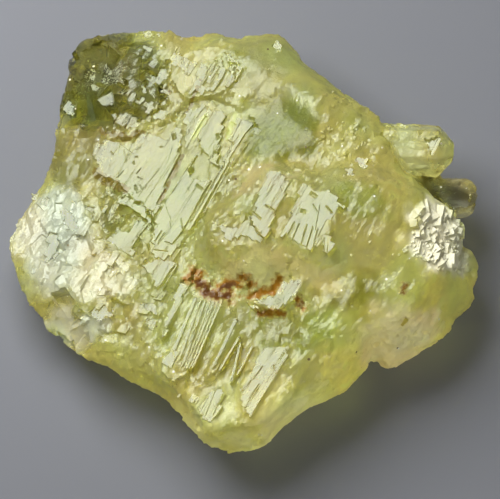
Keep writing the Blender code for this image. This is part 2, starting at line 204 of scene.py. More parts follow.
sunk = [
    (level * MM, BVHTree.FromPolygons([(u * MM, v * MM, 0.0) for u, v in rim], [range(len(rim))]))
    for level, rim in SUNK_GROUND.values()
]
bm = bmesh.new()
bm.from_mesh(skin.data)
bm.normal_update()
for vert in bm.verts:
    if vert.co.z < RESTING_FACE:
        vert.co.z = max(vert.co.z, 0.0)
        continue
    point, outward = vert.co.copy(), vert.normal.copy()
    moved = Vector((0.0, 0.0, 0.0))
    loose = 1.0
    for middle, half_sizes, push in FULLER.values():
        moved += Vector(push) * (eased(within(point, middle, half_sizes, 1.0)) * MM)
    for middle, half_sizes, size, height in BROKEN_ENDS.values():
        share = within(point, middle, half_sizes)
        if share:
            moved += outward * (tilted_faces(point, (size, size, size)) * height * share * MM)
            loose = min(loose, 1.0 - share)
    inside = to_crystal @ point
    calm = max(
        within(point, middle, half_sizes, 0.5) * share for middle, half_sizes, share in CALMER.values()
    )
    for sizes, height in CHISELLED.values():
        moved += outward * (tilted_faces(inside, sizes) * height * loose * (1.0 - calm) * MM)
    facing = outward.dot(PLATE_NORMAL)
    if facing > STEPS_SHOW[0] and loose:
        for middle, half_sizes, step in STEPPED.values():
            share = within(point, middle, half_sizes) * ramp(facing, *STEPS_SHOW) * loose
            if share:
                block = cell_of(inside, STEP_BLOCK, "CHEBYCHEV")[0]
                raised = (noise.cell(block * 29.0) - 0.5) * STEP_SPREAD * step * MM
                level = round((inside.z + raised) / (step * MM)) * step * MM
                moved += PLATE_NORMAL * ((level - inside.z) * share)
        for ground, outline in sunk:
            depth = inside.z - ground
            if depth > 0.0 and outline.ray_cast((inside.x, inside.y, 1.0), (0.0, 0.0, -1.0))[0]:
                rough = noise.noise(inside / (SUNK_RELIEF[0] * MM)) * SUNK_RELIEF[1] * MM
                moved = PLATE_NORMAL * (rough - depth)
    vert.co = point + moved
    vert.co.z = max(vert.co.z, 0.0)
bm.to_mesh(skin.data)
bm.free()

# ---- Broken faces and flakes -------------------------------------------------------------------
# Where the stone broke, small flat scars lie at all angles with sharp edges between them, and in
# the etched hollows flakes of the growth face still stand. Both are what glitters.

# Middle and half sizes along X and Y, number of scars, their smallest and largest size, how far
# they tilt in degrees, and how much they lean from the skin's own way towards the plates' way
SCARRED = {
    "silver end": ((-11.6, -0.3), (3.2, 4.2), 20, (1.0, 3.6), 9, 0.7),
    "glassy corner": ((-9.6, 10.2), (3.2, 3.6), 34, (1.2, 3.6), 18, 0.0),
    "corner edge": ((-7.0, 8.6), (2.0, 2.4), 20, (0.4, 1.4), 12, 0.7),
    "low glassy side": ((-10.0, -5.6), (3.4, 1.9), 22, (0.9, 2.6), 16, 0.0),
    "upper hollow": ((-5.7, 9.2), (2.4, 2.8), 36, (0.4, 1.2), 14, 0.7),
    "left hollow": ((-8.2, 0.4), (2.6, 3.4), 80, (0.3, 1.1), 16, 0.7),
    "low left": ((-8.6, -3.4), (3.4, 2.4), 12, (0.6, 2.0), 11, 0.6),
}
# Middle and half sizes along X and Y, number of flakes, and their smallest and largest length
FLAKED = {
    "left hollow": ((-7.4, 0.6), (3.4, 3.4), 46, (0.3, 1.5)),
    "upper hollow": ((-5.2, 9.4), (2.8, 2.8), 16, (0.4, 1.4)),
    "low left": ((-7.6, -3.0), (3.6, 3.0), 34, (0.25, 1.3)),
    "below the great plate": ((-4.6, -2.6), (2.0, 2.6), 30, (0.25, 1.1)),
    "between the strips": ((-1.8, -8.6), (3.4, 3.4), 40, (0.15, 0.6)),
    "green valley": ((3.4, 5.6), (4.6, 3.6), 60, (0.10, 0.40)),
    "right shoulder": ((7.6, -0.6), (4.2, 3.6), 70, (0.08, 0.34)),
    "flank": ((3.0, -6.0), (4.2, 3.2), 24, (0.08, 0.36)),
    "lower lobe": ((9.6, -5.4), (2.8, 2.4), 30, (0.08, 0.36)),
    "bottom end": ((0.4, -11.0), (3.4, 2.4), 30, (0.08, 0.34)),
    "top rim": ((1.0, 10.6), (5.0, 2.8), 50, (0.08, 0.40)),
}
FLAKES_FACE = 0.75  # flakes stand only where the skin faces the plates' way at least this much
FLAKE_ROOT = 0.4  # how far a flake reaches into the stone, in millimetres
FLAKE_LEAN = 5.0  # how far it leans, in degrees
LOWEST_SCAR = 1.5 * MM  # no scar comes nearer to the resting face
SCAR_DEPTH = 0.09  # how deep a scar is, against its size
SCAR_WIDTH = 0.7  # how wide it is, against its length
SCAR_BLOCK = 0.9 * MM  # how far the block that broke away reaches out over its scar
SCAR_BLOCK_GROWS = 1.8  # how much wider the block is there
OVER_ALL = 20.0  # a height over the whole stone, in millimetres


def skin_under(tree, x, y):
    """Where a line straight down meets the stone, and the way the skin faces there."""
    spot, facing, *_ = tree.ray_cast(Vector((x, y, OVER_ALL)) * MM, (0.0, 0.0, -1.0))
    return spot, facing


def random_spots(name, middle, half_sizes, number):
    """Seeded points spread evenly over an egg-shaped part of the stone, seen from above."""
    dice = random.Random(name)
    spots = []
    while len(spots) < number:
        x, y = dice.uniform(-1.0, 1.0), dice.uniform(-1.0, 1.0)
        if x * x + y * y < 1.0:
            spots.append((dice, middle[0] + x * half_sizes[0], middle[1] + y * half_sizes[1]))
    return spots


def lying(spot, way, roll):
    """Turns a shape that is made upright to look a way, rolled about it, and sets it at a spot."""
    turn = way.to_track_quat("Z", "Y").to_matrix().to_4x4() @ Matrix.Rotation(roll, 4, "Z")
    return Matrix.Translation(spot) @ turn


def scar(name, spot, facing, size, dice):
    """The block that breaks away over a flat scar, with an irregular outline."""
    bm = bmesh.new()
    corners = dice.randint(4, 6)
    ring = []
    for k in range(corners):
        angle = (k + dice.uniform(-0.3, 0.3)) / corners * math.tau
        reach = size * dice.uniform(0.6, 1.0) / 2 * MM
        ring.append(bm.verts.new((math.cos(angle) * reach, math.sin(angle) * reach * SCAR_WIDTH, 0.0)))
    base = bm.faces.new(ring)
    lifted = bmesh.ops.extrude_face_region(bm, geom=[base])["geom"]
    upper = [part for part in lifted if isinstance(part, bmesh.types.BMVert)]
    bmesh.ops.translate(bm, vec=(0.0, 0.0, SCAR_BLOCK), verts=upper)
    bmesh.ops.scale(bm, vec=(SCAR_BLOCK_GROWS, SCAR_BLOCK_GROWS, 1.0), verts=upper)
    bmesh.ops.recalc_face_normals(bm, faces=bm.faces)
    bmesh.ops.transform(bm, matrix=lying(spot, facing, dice.uniform(0.0, math.tau)), verts=bm.verts)
    return piece(name, bm)


def skin_tree():
    """The stone as it is now, to find its skin with."""
    bm = bmesh.new()
    bm.from_mesh(skin.data)
    tree = BVHTree.FromBMesh(bm)
    bm.free()
    return tree


def slab(name, outline, bottom, top, rim=0.0):
    """A slab of the crystal between two levels, over an outline along and across its c axis."""
    bm = bmesh.new()
    foot = bm.faces.new([bm.verts.new((u * MM, v * MM, bottom)) for u, v in outline])
    bm.normal_update()
    lifted = bmesh.ops.extrude_face_region(bm, geom=[foot])["geom"]
    lid = [part for part in lifted if isinstance(part, bmesh.types.BMFace)][0]
    bmesh.ops.translate(bm, vec=(0.0, 0.0, top - bottom), verts=lid.verts)
    bmesh.ops.recalc_face_normals(bm, faces=bm.faces)
    if rim:
        bmesh.ops.bevel(
            bm, geom=list(lid.edges), offset=rim, offset_type="OFFSET", segments=1, profile=0.5,
            affect="EDGES", material=-1,
        )
    bmesh.ops.transform(bm, matrix=crystal_axes, verts=bm.verts)
    return piece(name, bm)


def combine(operation, members):
    """Joins solids to the stone, or cuts them out of it, and removes them."""
    tools = bpy.data.collections.new("tools")
    bpy.context.scene.collection.children.link(tools)
    for member in members:
        bpy.context.scene.collection.objects.unlink(member)
        tools.objects.link(member)
    change = skin.modifiers.new(operation, "BOOLEAN")
    change.operation = operation
    change.solver = "MANIFOLD"
    change.operand_type = "COLLECTION"
    change.collection = tools
    settle(skin)
    for member in members:
        bpy.data.objects.remove(member)
    bpy.data.collections.remove(tools)


tree = skin_tree()
scars = []
for name, (middle, half_sizes, number, (smallest, largest), tilt, lean) in SCARRED.items():
    for dice, x, y in random_spots(name, middle, half_sizes, number):
        size = smallest + (largest - smallest) * dice.random() ** 2
        spot, facing = skin_under(tree, x, y)
        if spot is None or spot.z < LOWEST_SCAR:
            continue
        facing = facing.lerp(PLATE_NORMAL, lean * ramp(facing.dot(PLATE_NORMAL), 0.4, 0.8))
        wander = Vector(dice.gauss(0.0, math.tan(math.radians(tilt)) / 1.5) for _ in range(3))
        facing = (facing + wander).normalized()
        floor_of_scar = spot - facing * size * SCAR_DEPTH * MM
        scars.append(scar(f"scar on the {name}", floor_of_scar, facing, size, dice))
combine("DIFFERENCE", scars)

tree = skin_tree()
flakes = []
for name, (middle, half_sizes, number, (shortest, longest)) in FLAKED.items():
    for dice, x, y in random_spots(name + " flakes", middle, half_sizes, number):
        spot, facing = skin_under(tree, x, y)
        if spot is None or facing.dot(PLATE_NORMAL) < FLAKES_FACE:
            continue
        inside = to_crystal @ spot / MM
        length = shortest + (longest - shortest) * dice.random() ** 2
        width = length * dice.uniform(0.25, 0.6)
        u, v = inside.x - length / 2, inside.y - width / 2
        slant = dice.uniform(-0.2, 0.2) * length
        rim = [(u, v), (u + length, v), (u + length + slant, v + width), (u + slant, v + width)]
        top = inside.z + dice.uniform(0.01, 0.06) * min(1.0, length)
        flake = slab(f"flake in the {name}", rim, (top - FLAKE_ROOT) * MM, top * MM)
        lean = Matrix.Rotation(math.radians(dice.gauss(0.0, FLAKE_LEAN)), 4, bearing) @ Matrix.Rotation(
            math.radians(dice.gauss(0.0, FLAKE_LEAN)), 4, across)
        flake.data.transform(Matrix.Translation(spot) @ lean @ Matrix.Translation(-spot))
        flakes.append(flake)
combine("UNION", flakes)

# ---- Small crystals and the white crust --------------------------------------------------------
# At the +X end three small beryl crystals stick out of the stone: a green one with a small tip, a
# clear grey knob with a rounded end, and a short spur. Under the knob sits a close crust of tiny
# white crystals that grew last, and a few stretches of the rims carry the same.

# Root and tip of the axis, radius, roll about the axis in degrees, size of the tip face against
# the radius, length of the narrowing tip against it, and the width of the worn edges. Lengths
# here are in millimetres.
SMALL_CRYSTALS = {
    "green crystal": ((6.0, 5.8, 5.5), (12.35, 5.37, 5.75), 1.76, 30, 0.24, 0.55, 0.09),
    "clear knob": ((9.5, 2.9, 4.8), (14.25, 2.62, 4.35), 1.42, 10, 0.50, 0.34, 0.30),
    "corner spur": ((11.8, -2.4, 3.9), (14.3, -1.45, 4.15), 1.17, 25, 0.45, 0.40, 0.24),
}
FLATS = 0.86  # how far the flats of a six-sided crystal are from its axis, against its radius
SIDE_WAVES = ((1.3, 0.10), (0.45, 0.03))  # size and height of the waves in its sides, in millimetres
SIDE_GRAIN = 0.25 * MM  # the longest edge that can follow them

# Middle and half sizes of a stretch of crust along X and Y, number of crystals, and their
# smallest and largest length
CRUST = {
    "white crust": ((12.05, -0.8), (2.0, 2.1), 150, (0.30, 1.1)),
    "crust's foot": ((11.6, -1.9), (1.7, 0.6), 80, (0.14, 0.5)),
    "crust's point": ((13.3, -1.7), (0.9, 0.8), 60, (0.14, 0.5)),
    "sugary ridge": ((6.0, 5.6), (1.9, 1.3), 60, (0.15, 0.5)),
    "top rim": ((-0.4, 11.4), (2.0, 0.8), 26, (0.12, 0.4)),
    "silver rim": ((-10.6, 1.4), (0.7, 2.2), 60, (0.12, 0.45)),
}
CRUST_WAY = Vector((-0.35, 0.25, 0.9)).normalized()  # where its crystals look, on the whole
CRUST_TURNED = 0.85  # how far they turn from the skin's way to that
CRUST_SPREAD = 0.10  # how far each one strays
CRUST_SUNK = 0.30  # how far the middle of a crystal is below the skin, in lengths
LOWEST_CRUST = 3.0 * MM  # no crust comes nearer to the resting face


def small_crystal(name, root, tip, radius, roll, tip_share, tip_length, worn):
    """A six-sided crystal that narrows to a small flat end, with worn edges and wavy sides."""
    root, tip = Vector(root) * MM, Vector(tip) * MM
    axis = tip - root
    bm = bmesh.new()
    bmesh.ops.create_cone(
        bm, cap_ends=True, segments=6, radius1=radius * MM, radius2=radius * MM, depth=axis.length
    )
    end = max(bm.faces, key=lambda face: face.calc_center_median().z)
    bmesh.ops.inset_region(bm, faces=[end], thickness=radius * (1 - tip_share) * FLATS * MM)
    bmesh.ops.translate(bm, vec=(0.0, 0.0, radius * tip_length * MM), verts=end.verts)
    bmesh.ops.bevel(
        bm, geom=list(bm.edges), offset=worn * MM, offset_type="OFFSET", segments=3, profile=0.5,
        affect="EDGES", material=-1,
    )
    bmesh.ops.triangulate(bm, faces=bm.faces)
    for _ in range(3):
        long = [edge for edge in bm.edges if edge.calc_length() > SIDE_GRAIN]
        bmesh.ops.subdivide_edges(bm, edges=long, cuts=1)
        bmesh.ops.triangulate(bm, faces=bm.faces)
    bm.normal_update()
    for vert in bm.verts:
        wave = sum(noise.noise(vert.co / (size * MM)) * height for size, height in SIDE_WAVES)
        vert.co += vert.normal * (wave * MM)
    bmesh.ops.transform(bm, matrix=lying((root + tip) / 2, axis, math.radians(roll)), verts=bm.verts)
    bmesh.ops.recalc_face_normals(bm, faces=bm.faces)
    return piece(name, bm)


combine("UNION", [small_crystal(name, *sizes) for name, sizes in SMALL_CRYSTALS.items()])

tree = skin_tree()
grains = []
for name, (middle, half_sizes, number, (shortest, longest)) in CRUST.items():
    for dice, x, y in random_spots(name, middle, half_sizes, number):
        spot, facing = skin_under(tree, x, y)
        length = shortest + (longest - shortest) * dice.random() ** 2
        if spot is None or spot.z < LOWEST_CRUST:
            continue
        bm = bmesh.new()
        bmesh.ops.create_cube(bm, size=1.0)
        sides = (1.0, dice.uniform(0.3, 0.7), dice.uniform(0.4, 0.8))
        bmesh.ops.scale(bm, vec=[length * side * MM for side in sides], verts=bm.verts)
        stray = Vector(dice.gauss(0.0, CRUST_SPREAD) for _ in range(3))
        way = (facing.lerp(CRUST_WAY, CRUST_TURNED) + stray).normalized()
        centre = spot - way * length * CRUST_SUNK * MM
        bmesh.ops.transform(bm, matrix=lying(centre, way, dice.uniform(0.0, math.tau)), verts=bm.verts)
        grains.append(piece(f"{name} crystal", bm))
combine("UNION", grains)

# ---- Etched plates --------------------------------------------------------------------------
# Smooth steps of the crystal's growth face, left standing between grooves that the fluid cut
# along the c axis. Each is a thin plate with a sharp rim, ragged where it crosses the c axis, and
# pitted by small etch pits. All keep to the great plate's tilt, or nearly so.

ROOT = 2.2 * MM  # how far a plate reaches down into the stone
RIM = 0.025 * MM  # the worn edge round a plate
CLEARED = 1.4 * MM  # how high the skin is taken away over a plate
OVER_GROWN = 1.03  # how much wider than the plate that is
UNDER_PLATE = 0.04  # and how far below the top of a plate it starts, in millimetres
UNDER_RIB = 0.03
LAID_DEPTH = 0.02  # how far a plate that follows the skin lies below it, in millimetres
LEANS = 0.15  # and how far it leans the skin's way
FINGER = 0.28  # how wide the teeth of a ragged rim are, in millimetres
JUT = 0.20  # how far they stand out
FINGER_GAP = 0.04  # the gap at each side of a tooth, against the width of its edge
ACROSS = 0.16  # an edge steeper to the c axis than this is ragged
GROOVE_DEPTH = 0.14  # of the deepest grooves, in millimetres
GROOVE_SHAPE = 0.8  # how deep a narrow groove is against its width

# Level over the great plate, and outline along and across the c axis, in millimetres
PLATES = {
    "left plate": (0.0, [
        (-0.4, 11.3), (0.1, 11.4), (0.6, 10.9), (0.8, 10.0), (1.0, 9.5), (1.5, 9.2), (1.9, 9.2),
        (2.3, 8.9), (2.4, 8.2), (2.6, 7.5), (3.5, 7.5), (3.7, 7.0), (3.1, 6.7), (2.5, 6.5),
        (1.8, 6.2), (0.4, 6.0), (-0.8, 5.8), (-2.0, 5.4), (-2.1, 5.6), (-1.9, 6.2), (-1.8, 7.8),
        (-1.5, 8.2), (-1.5, 9.0), (-1.6, 10.1), (-1.4, 10.4), (-0.9, 10.7), (-0.7, 11.2),
    ]),
    "narrow plate": (-0.06, [
        (4.7, 7.6), (5.8, 6.5), (5.3, 6.2), (4.1, 6.2), (2.7, 6.1), (2.6, 6.3), (3.7, 6.9),
    ]),
    "top plate": (0.07, [
        (5.5, 6.3), (6.0, 5.3), (5.6, 5.0), (4.7, 4.7), (3.7, 4.2), (2.5, 3.6), (2.7, 4.3),
        (3.0, 5.0), (3.4, 5.6), (3.7, 5.9), (4.8, 6.0),
    ]),
    "right plate": (-0.04, [
        (6.0, 4.4), (6.2, 3.6), (6.0, 3.2), (5.3, 3.3), (4.2, 3.3), (2.6, 3.3), (2.4, 3.4),
        (3.8, 3.7), (4.9, 4.1),
    ]),
    "right chip": (-0.10, [(5.8, 3.1), (6.1, 2.8), (5.8, 2.5), (5.4, 2.7)]),
    "lower plate": (0.04, [
        (2.6, 5.3), (2.6, 5.2), (1.3, 5.2), (1.1, 4.5), (1.6, 3.5), (0.6, 3.5), (-0.5, 3.4),
        (-2.0, 3.3), (-2.7, 3.4), (-3.7, 3.0), (-4.3, 3.2), (-4.5, 4.0), (-4.1, 4.3), (-3.4, 4.7),
        (-2.2, 5.2), (-1.0, 5.3), (1.1, 5.3),
    ]),
    "feathered plate": (-0.10, [
        (-5.3, 4.4), (-4.7, 3.9), (-4.2, 3.0), (-4.0, 2.5), (-4.6, 2.6), (-5.8, 2.6), (-6.1, 2.7),
        (-5.6, 3.4), (-5.5, 3.9),
    ]),
    "ledge fan": (0.50, [
        (7.3, 10.2), (7.7, 9.9), (7.7, 9.1), (7.8, 8.4), (7.3, 8.4), (6.7, 8.4), (6.8, 8.8),
        (6.9, 9.5), (6.9, 9.9),
    ]),
    "ledge strip": (0.56, [
        (7.8, 8.2), (7.9, 7.7), (7.6, 7.5), (7.1, 7.3), (6.6, 7.3), (6.4, 6.9), (6.0, 6.9),
        (6.2, 7.5), (5.8, 7.6), (5.3, 7.6), (5.9, 7.8), (6.6, 7.9), (7.3, 8.1),
    ]),
    "ledge inner band": (0.48, [
        (7.9, 7.7), (8.4, 7.5), (8.0, 7.0), (7.4, 6.9), (6.9, 6.9), (6.7, 7.2), (7.2, 7.3),
    ]),
    "ledge first band": (0.62, [
        (8.6, 7.5), (8.6, 7.0), (8.2, 6.5), (7.7, 6.4), (7.1, 6.4), (6.6, 6.4), (6.3, 6.7),
        (6.5, 7.0), (6.8, 6.7), (7.4, 6.7), (8.0, 6.9), (8.4, 7.2),
    ]),
    "ledge second band": (0.66, [
        (9.3, 7.3), (9.3, 7.0), (8.9, 6.4), (8.6, 6.1), (8.1, 5.9), (8.0, 5.7), (7.7, 5.6),
        (7.2, 5.7), (7.2, 6.0), (7.6, 6.0), (8.0, 6.1), (8.5, 6.4), (8.9, 6.8),
    ]),
    "ledge third band": (0.70, [
        (9.2, 6.4), (9.0, 6.0), (8.8, 5.6), (8.3, 5.5), (7.8, 5.5), (7.8, 5.6), (8.2, 5.7),
        (8.7, 6.0), (9.0, 6.4),
    ]),
    "hollow step": (-0.40, [
        (-3.4, 6.4), (-2.6, 6.2), (-2.8, 5.6), (-3.8, 5.7), (-4.3, 5.7), (-5.1, 5.3), (-5.0, 6.2),
        (-5.0, 7.7), (-4.6, 7.1), (-4.0, 7.0), (-3.7, 6.4),
    ]),
    "hollow border": (-0.22, [
        (-2.5, 8.2), (-2.4, 7.0), (-2.5, 6.3), (-2.7, 5.4), (-2.4, 5.5), (-2.0, 6.5), (-1.9, 7.9),
    ]),
    "hollow chip": (-0.30, [(-3.3, 9.0), (-3.0, 8.4), (-3.6, 8.4)]),
    "hollow chip outer": (-0.32, [(-3.7, 9.9), (-3.5, 9.1), (-4.1, 8.9)]),
    "block long": (1.6, [
        (3.7, 0.1), (3.9, -0.7), (3.8, -1.1), (3.2, -1.5), (2.7, -1.7), (1.6, -1.7), (0.9, -1.9),
        (-0.2, -2.1), (-0.3, -1.8), (0.1, -0.9), (0.4, -0.4), (0.8, -0.6), (1.4, -0.3), (2.6, -0.1),
    ]),
    "block broad": (1.5, [
        (4.0, -2.2), (4.1, -2.6), (3.8, -3.0), (4.0, -3.5), (4.4, -4.0), (4.3, -4.4), (4.0, -5.0),
        (3.8, -5.4), (3.6, -5.0), (3.0, -5.1), (2.6, -4.8), (1.8, -4.9), (0.9, -5.1), (0.5, -5.0),
        (0.6, -4.4), (0.4, -3.9), (0.7, -3.4), (0.3, -2.8), (1.5, -2.7), (2.5, -2.5),
    ]),
    "comb end": (1.40, [(1.7, -5.1), (2.0, -5.7), (1.2, -6.1), (0.9, -6.0), (0.9, -5.6)]),
    "block tongue": (1.18, [
        (-0.9, 1.6), (-0.9, 1.0), (-0.7, 0.3), (-0.3, -0.2), (0.1, -0.2), (0.4, -0.3), (0.1, -0.8),
        (-0.2, -1.6), (-0.4, -1.9), (-0.6, -1.9), (-0.8, -1.5), (-0.7, -0.8), (-0.8, -0.5),
        (-1.4, -0.2), (-1.5, 0.2), (-1.1, 0.8),
    ]),
    "leaf": (0.10, [
        (-1.0, -5.1), (-1.5, -4.5), (-1.9, -4.1), (-2.7, -4.2), (-3.2, -3.8), (-3.7, -3.2),
        (-3.8, -3.8), (-3.8, -4.4), (-3.4, -4.9), (-2.8, -5.1), (-2.0, -5.3), (-1.4, -5.2),
    ]),
    "leaf sliver": (0.0, [(-4.1, -2.8), (-4.0, -3.3), (-4.1, -3.7), (-4.3, -3.5), (-4.3, -3.1)]),
    "outer strip": (-0.40, [
        (-5.1, 1.7), (-4.8, 1.2), (-5.2, 1.1), (-6.4, 0.9), (-7.4, 0.8), (-8.5, 0.6), (-8.3, 0.9),
        (-7.8, 1.1), (-6.6, 1.3), (-5.5, 1.6),
    ]),
    "strip foot": (-0.36, [
        (-8.3, -0.1), (-8.5, -0.4), (-9.4, -0.8), (-10.0, -0.9), (-10.1, -0.5), (-9.8, -0.1),
        (-9.3, -0.2),
    ]),
    "bright strip": (-0.60, [
        (-6.0, -5.1), (-5.5, -5.9), (-5.2, -6.6), (-6.0, -6.8), (-7.7, -6.8), (-9.3, -6.8),
        (-10.0, -6.9), (-10.2, -6.7), (-9.7, -5.9), (-8.8, -5.4), (-7.6, -5.3), (-6.6, -5.1),
    ]),
    "fan": (-0.75, [
        (-11.3, -3.6), (-10.3, -3.7), (-9.3, -4.0), (-9.8, -4.6), (-10.9, -4.9), (-11.5, -4.8),
        (-11.7, -4.5), (-11.6, -3.9),
    ]),
    "fan left": (-0.75, [(-11.2, -2.8), (-10.1, -3.1), (-11.2, -3.4)]),
    "green crystal face": (-2.42, [(11.0, -6.2), (11.7, -7.1), (10.2, -7.3)]),
}

# Plates that follow the skin where they lie: outline along and across the c axis, in millimetres
LAID_PLATES = {
    "corner glint": [(8.0, 13.2), (8.4, 13.0), (8.5, 12.7), (8.2, 12.3), (7.8, 12.5), (7.8, 13.0)],
    "corner spark": [(8.3, 12.2), (8.5, 11.9), (8.2, 11.7), (8.1, 12.0)],
    "corner scale": [(7.1, 12.4), (7.4, 12.0), (7.2, 11.7), (6.8, 12.0)],
    "corner square": [(1.0, 14.9), (1.8, 15.0), (1.7, 14.2), (1.0, 14.0), (0.9, 14.6)],
    "upper flake": [
        (5.4, 10.9), (5.8, 10.4), (6.5, 10.5), (6.5, 10.0), (6.1, 9.7), (5.6, 9.9), (5.2, 10.3),
    ],
    "upper sliver": [(5.2, 10.3), (5.5, 9.4), (5.3, 9.0), (5.0, 9.3)],
    "thin sliver": [(5.0, 11.3), (5.0, 11.1), (4.5, 10.3), (4.4, 10.4)],
    "hollow scale": [(3.5, 11.3), (4.1, 11.3), (4.1, 10.9), (3.6, 10.8), (3.4, 11.0)],
    "hollow scale inner": [(3.6, 10.8), (4.3, 10.6), (4.0, 10.3), (3.6, 10.4)],
    "hollow tooth": [(3.9, 10.2), (4.2, 9.6), (3.7, 9.3), (3.1, 9.4), (3.5, 9.8)],
    "hollow block": [(2.1, 11.2), (2.9, 11.0), (2.9, 10.5), (2.3, 10.4), (1.8, 10.5), (1.8, 11.0)],
    "hollow block inner": [(2.6, 10.4), (2.9, 9.9), (2.3, 9.6), (1.8, 10.3)],
    "hollow flake": [(3.6, 9.2), (4.2, 8.7), (4.0, 8.3), (3.4, 8.4), (3.1, 9.1)],
    "silver face inner": [
        (-6.3, 11.0), (-6.1, 10.5), (-6.6, 10.0), (-7.5, 9.7), (-8.0, 10.0), (-7.6, 10.6),
    ],
    "silver spark": [(-4.7, 12.7), (-4.4, 12.2), (-4.8, 12.1), (-5.1, 12.6)],
    "silver spark upper": [(-4.5, 13.7), (-4.4, 13.2), (-4.9, 13.1), (-5.0, 13.5)],
    "silver spark inner": [(-3.9, 10.8), (-3.8, 10.5), (-4.2, 10.4)],
    "silver spark lower": [(-8.6, 10.7), (-8.6, 10.4), (-9.1, 10.3), (-9.1, 10.6)],
    "silver ridge": [(-4.7, 11.2), (-4.4, 10.9), (-4.6, 10.2), (-5.2, 9.4), (-5.6, 9.6), (-5.3, 10.3)],
    "cream plate lower": [(-9.5, 5.9), (-8.6, 5.0), (-8.9, 4.3), (-9.7, 4.9)],
    "low scale": [(-7.3, 3.2), (-6.9, 2.2), (-7.5, 1.9), (-7.6, 2.5)],
    "low scale lower": [(-8.0, 2.4), (-7.6, 1.9), (-8.0, 1.7), (-8.6, 1.6), (-8.4, 2.1)],
    "ridge face": [(7.5, -3.7), (7.7, -4.5), (6.9, -4.7), (6.9, -4.1)],
    "ridge face lower": [(6.2, -3.7), (6.6, -3.9), (6.2, -4.5), (5.9, -4.2)],
    "shoulder glint": [(11.7, 5.2), (11.7, 4.6), (11.2, 4.5), (11.2, 5.1)],
    "lobe glint": [(-0.1, -11.3), (0.5, -11.3), (0.3, -11.6), (-0.3, -11.5)],
}

# Ribs that run along the c axis: start and end along and across it, width, and level over the
# great plate, in millimetres
RIBS = [
    (-5.3, 0.26, -9.1, -0.37, 0.20, -0.30), (-5.3, -0.11, -9.5, -0.99, 0.14, -0.34),
    (-5.2, -0.38, -9.7, -1.39, 0.17, -0.30), (-5.0, -0.64, -9.7, -1.57, 0.10, -0.36),
    (-5.0, -0.91, -9.7, -1.73, 0.14, -0.31), (-4.8, -1.11, -9.6, -1.88, 0.09, -0.37),
    (-4.7, -1.31, -9.5, -2.02, 0.13, -0.33), (-5.2, -2.69, -8.7, -3.10, 0.20, -0.42),
    (-6.1, -3.49, -8.7, -3.56, 0.14, -0.42), (-6.4, -3.78, -9.0, -4.57, 0.18, -0.46),
    (-6.2, -4.53, -8.4, -4.66, 0.13, -0.50), (3.3, 3.24, -2.0, 3.00, 0.16, -0.02),
    (2.8, 3.45, -1.4, 3.22, 0.06, -0.06), (3.6, 3.08, -0.6, 2.80, 0.08, -0.10),
    (5.2, 6.42, 2.6, 6.24, 0.06, -0.10), (-4.3, 2.90, -6.0, 2.76, 0.08, -0.06),
    (-4.1, 2.42, -6.0, 2.36, 0.08, -0.12),
]

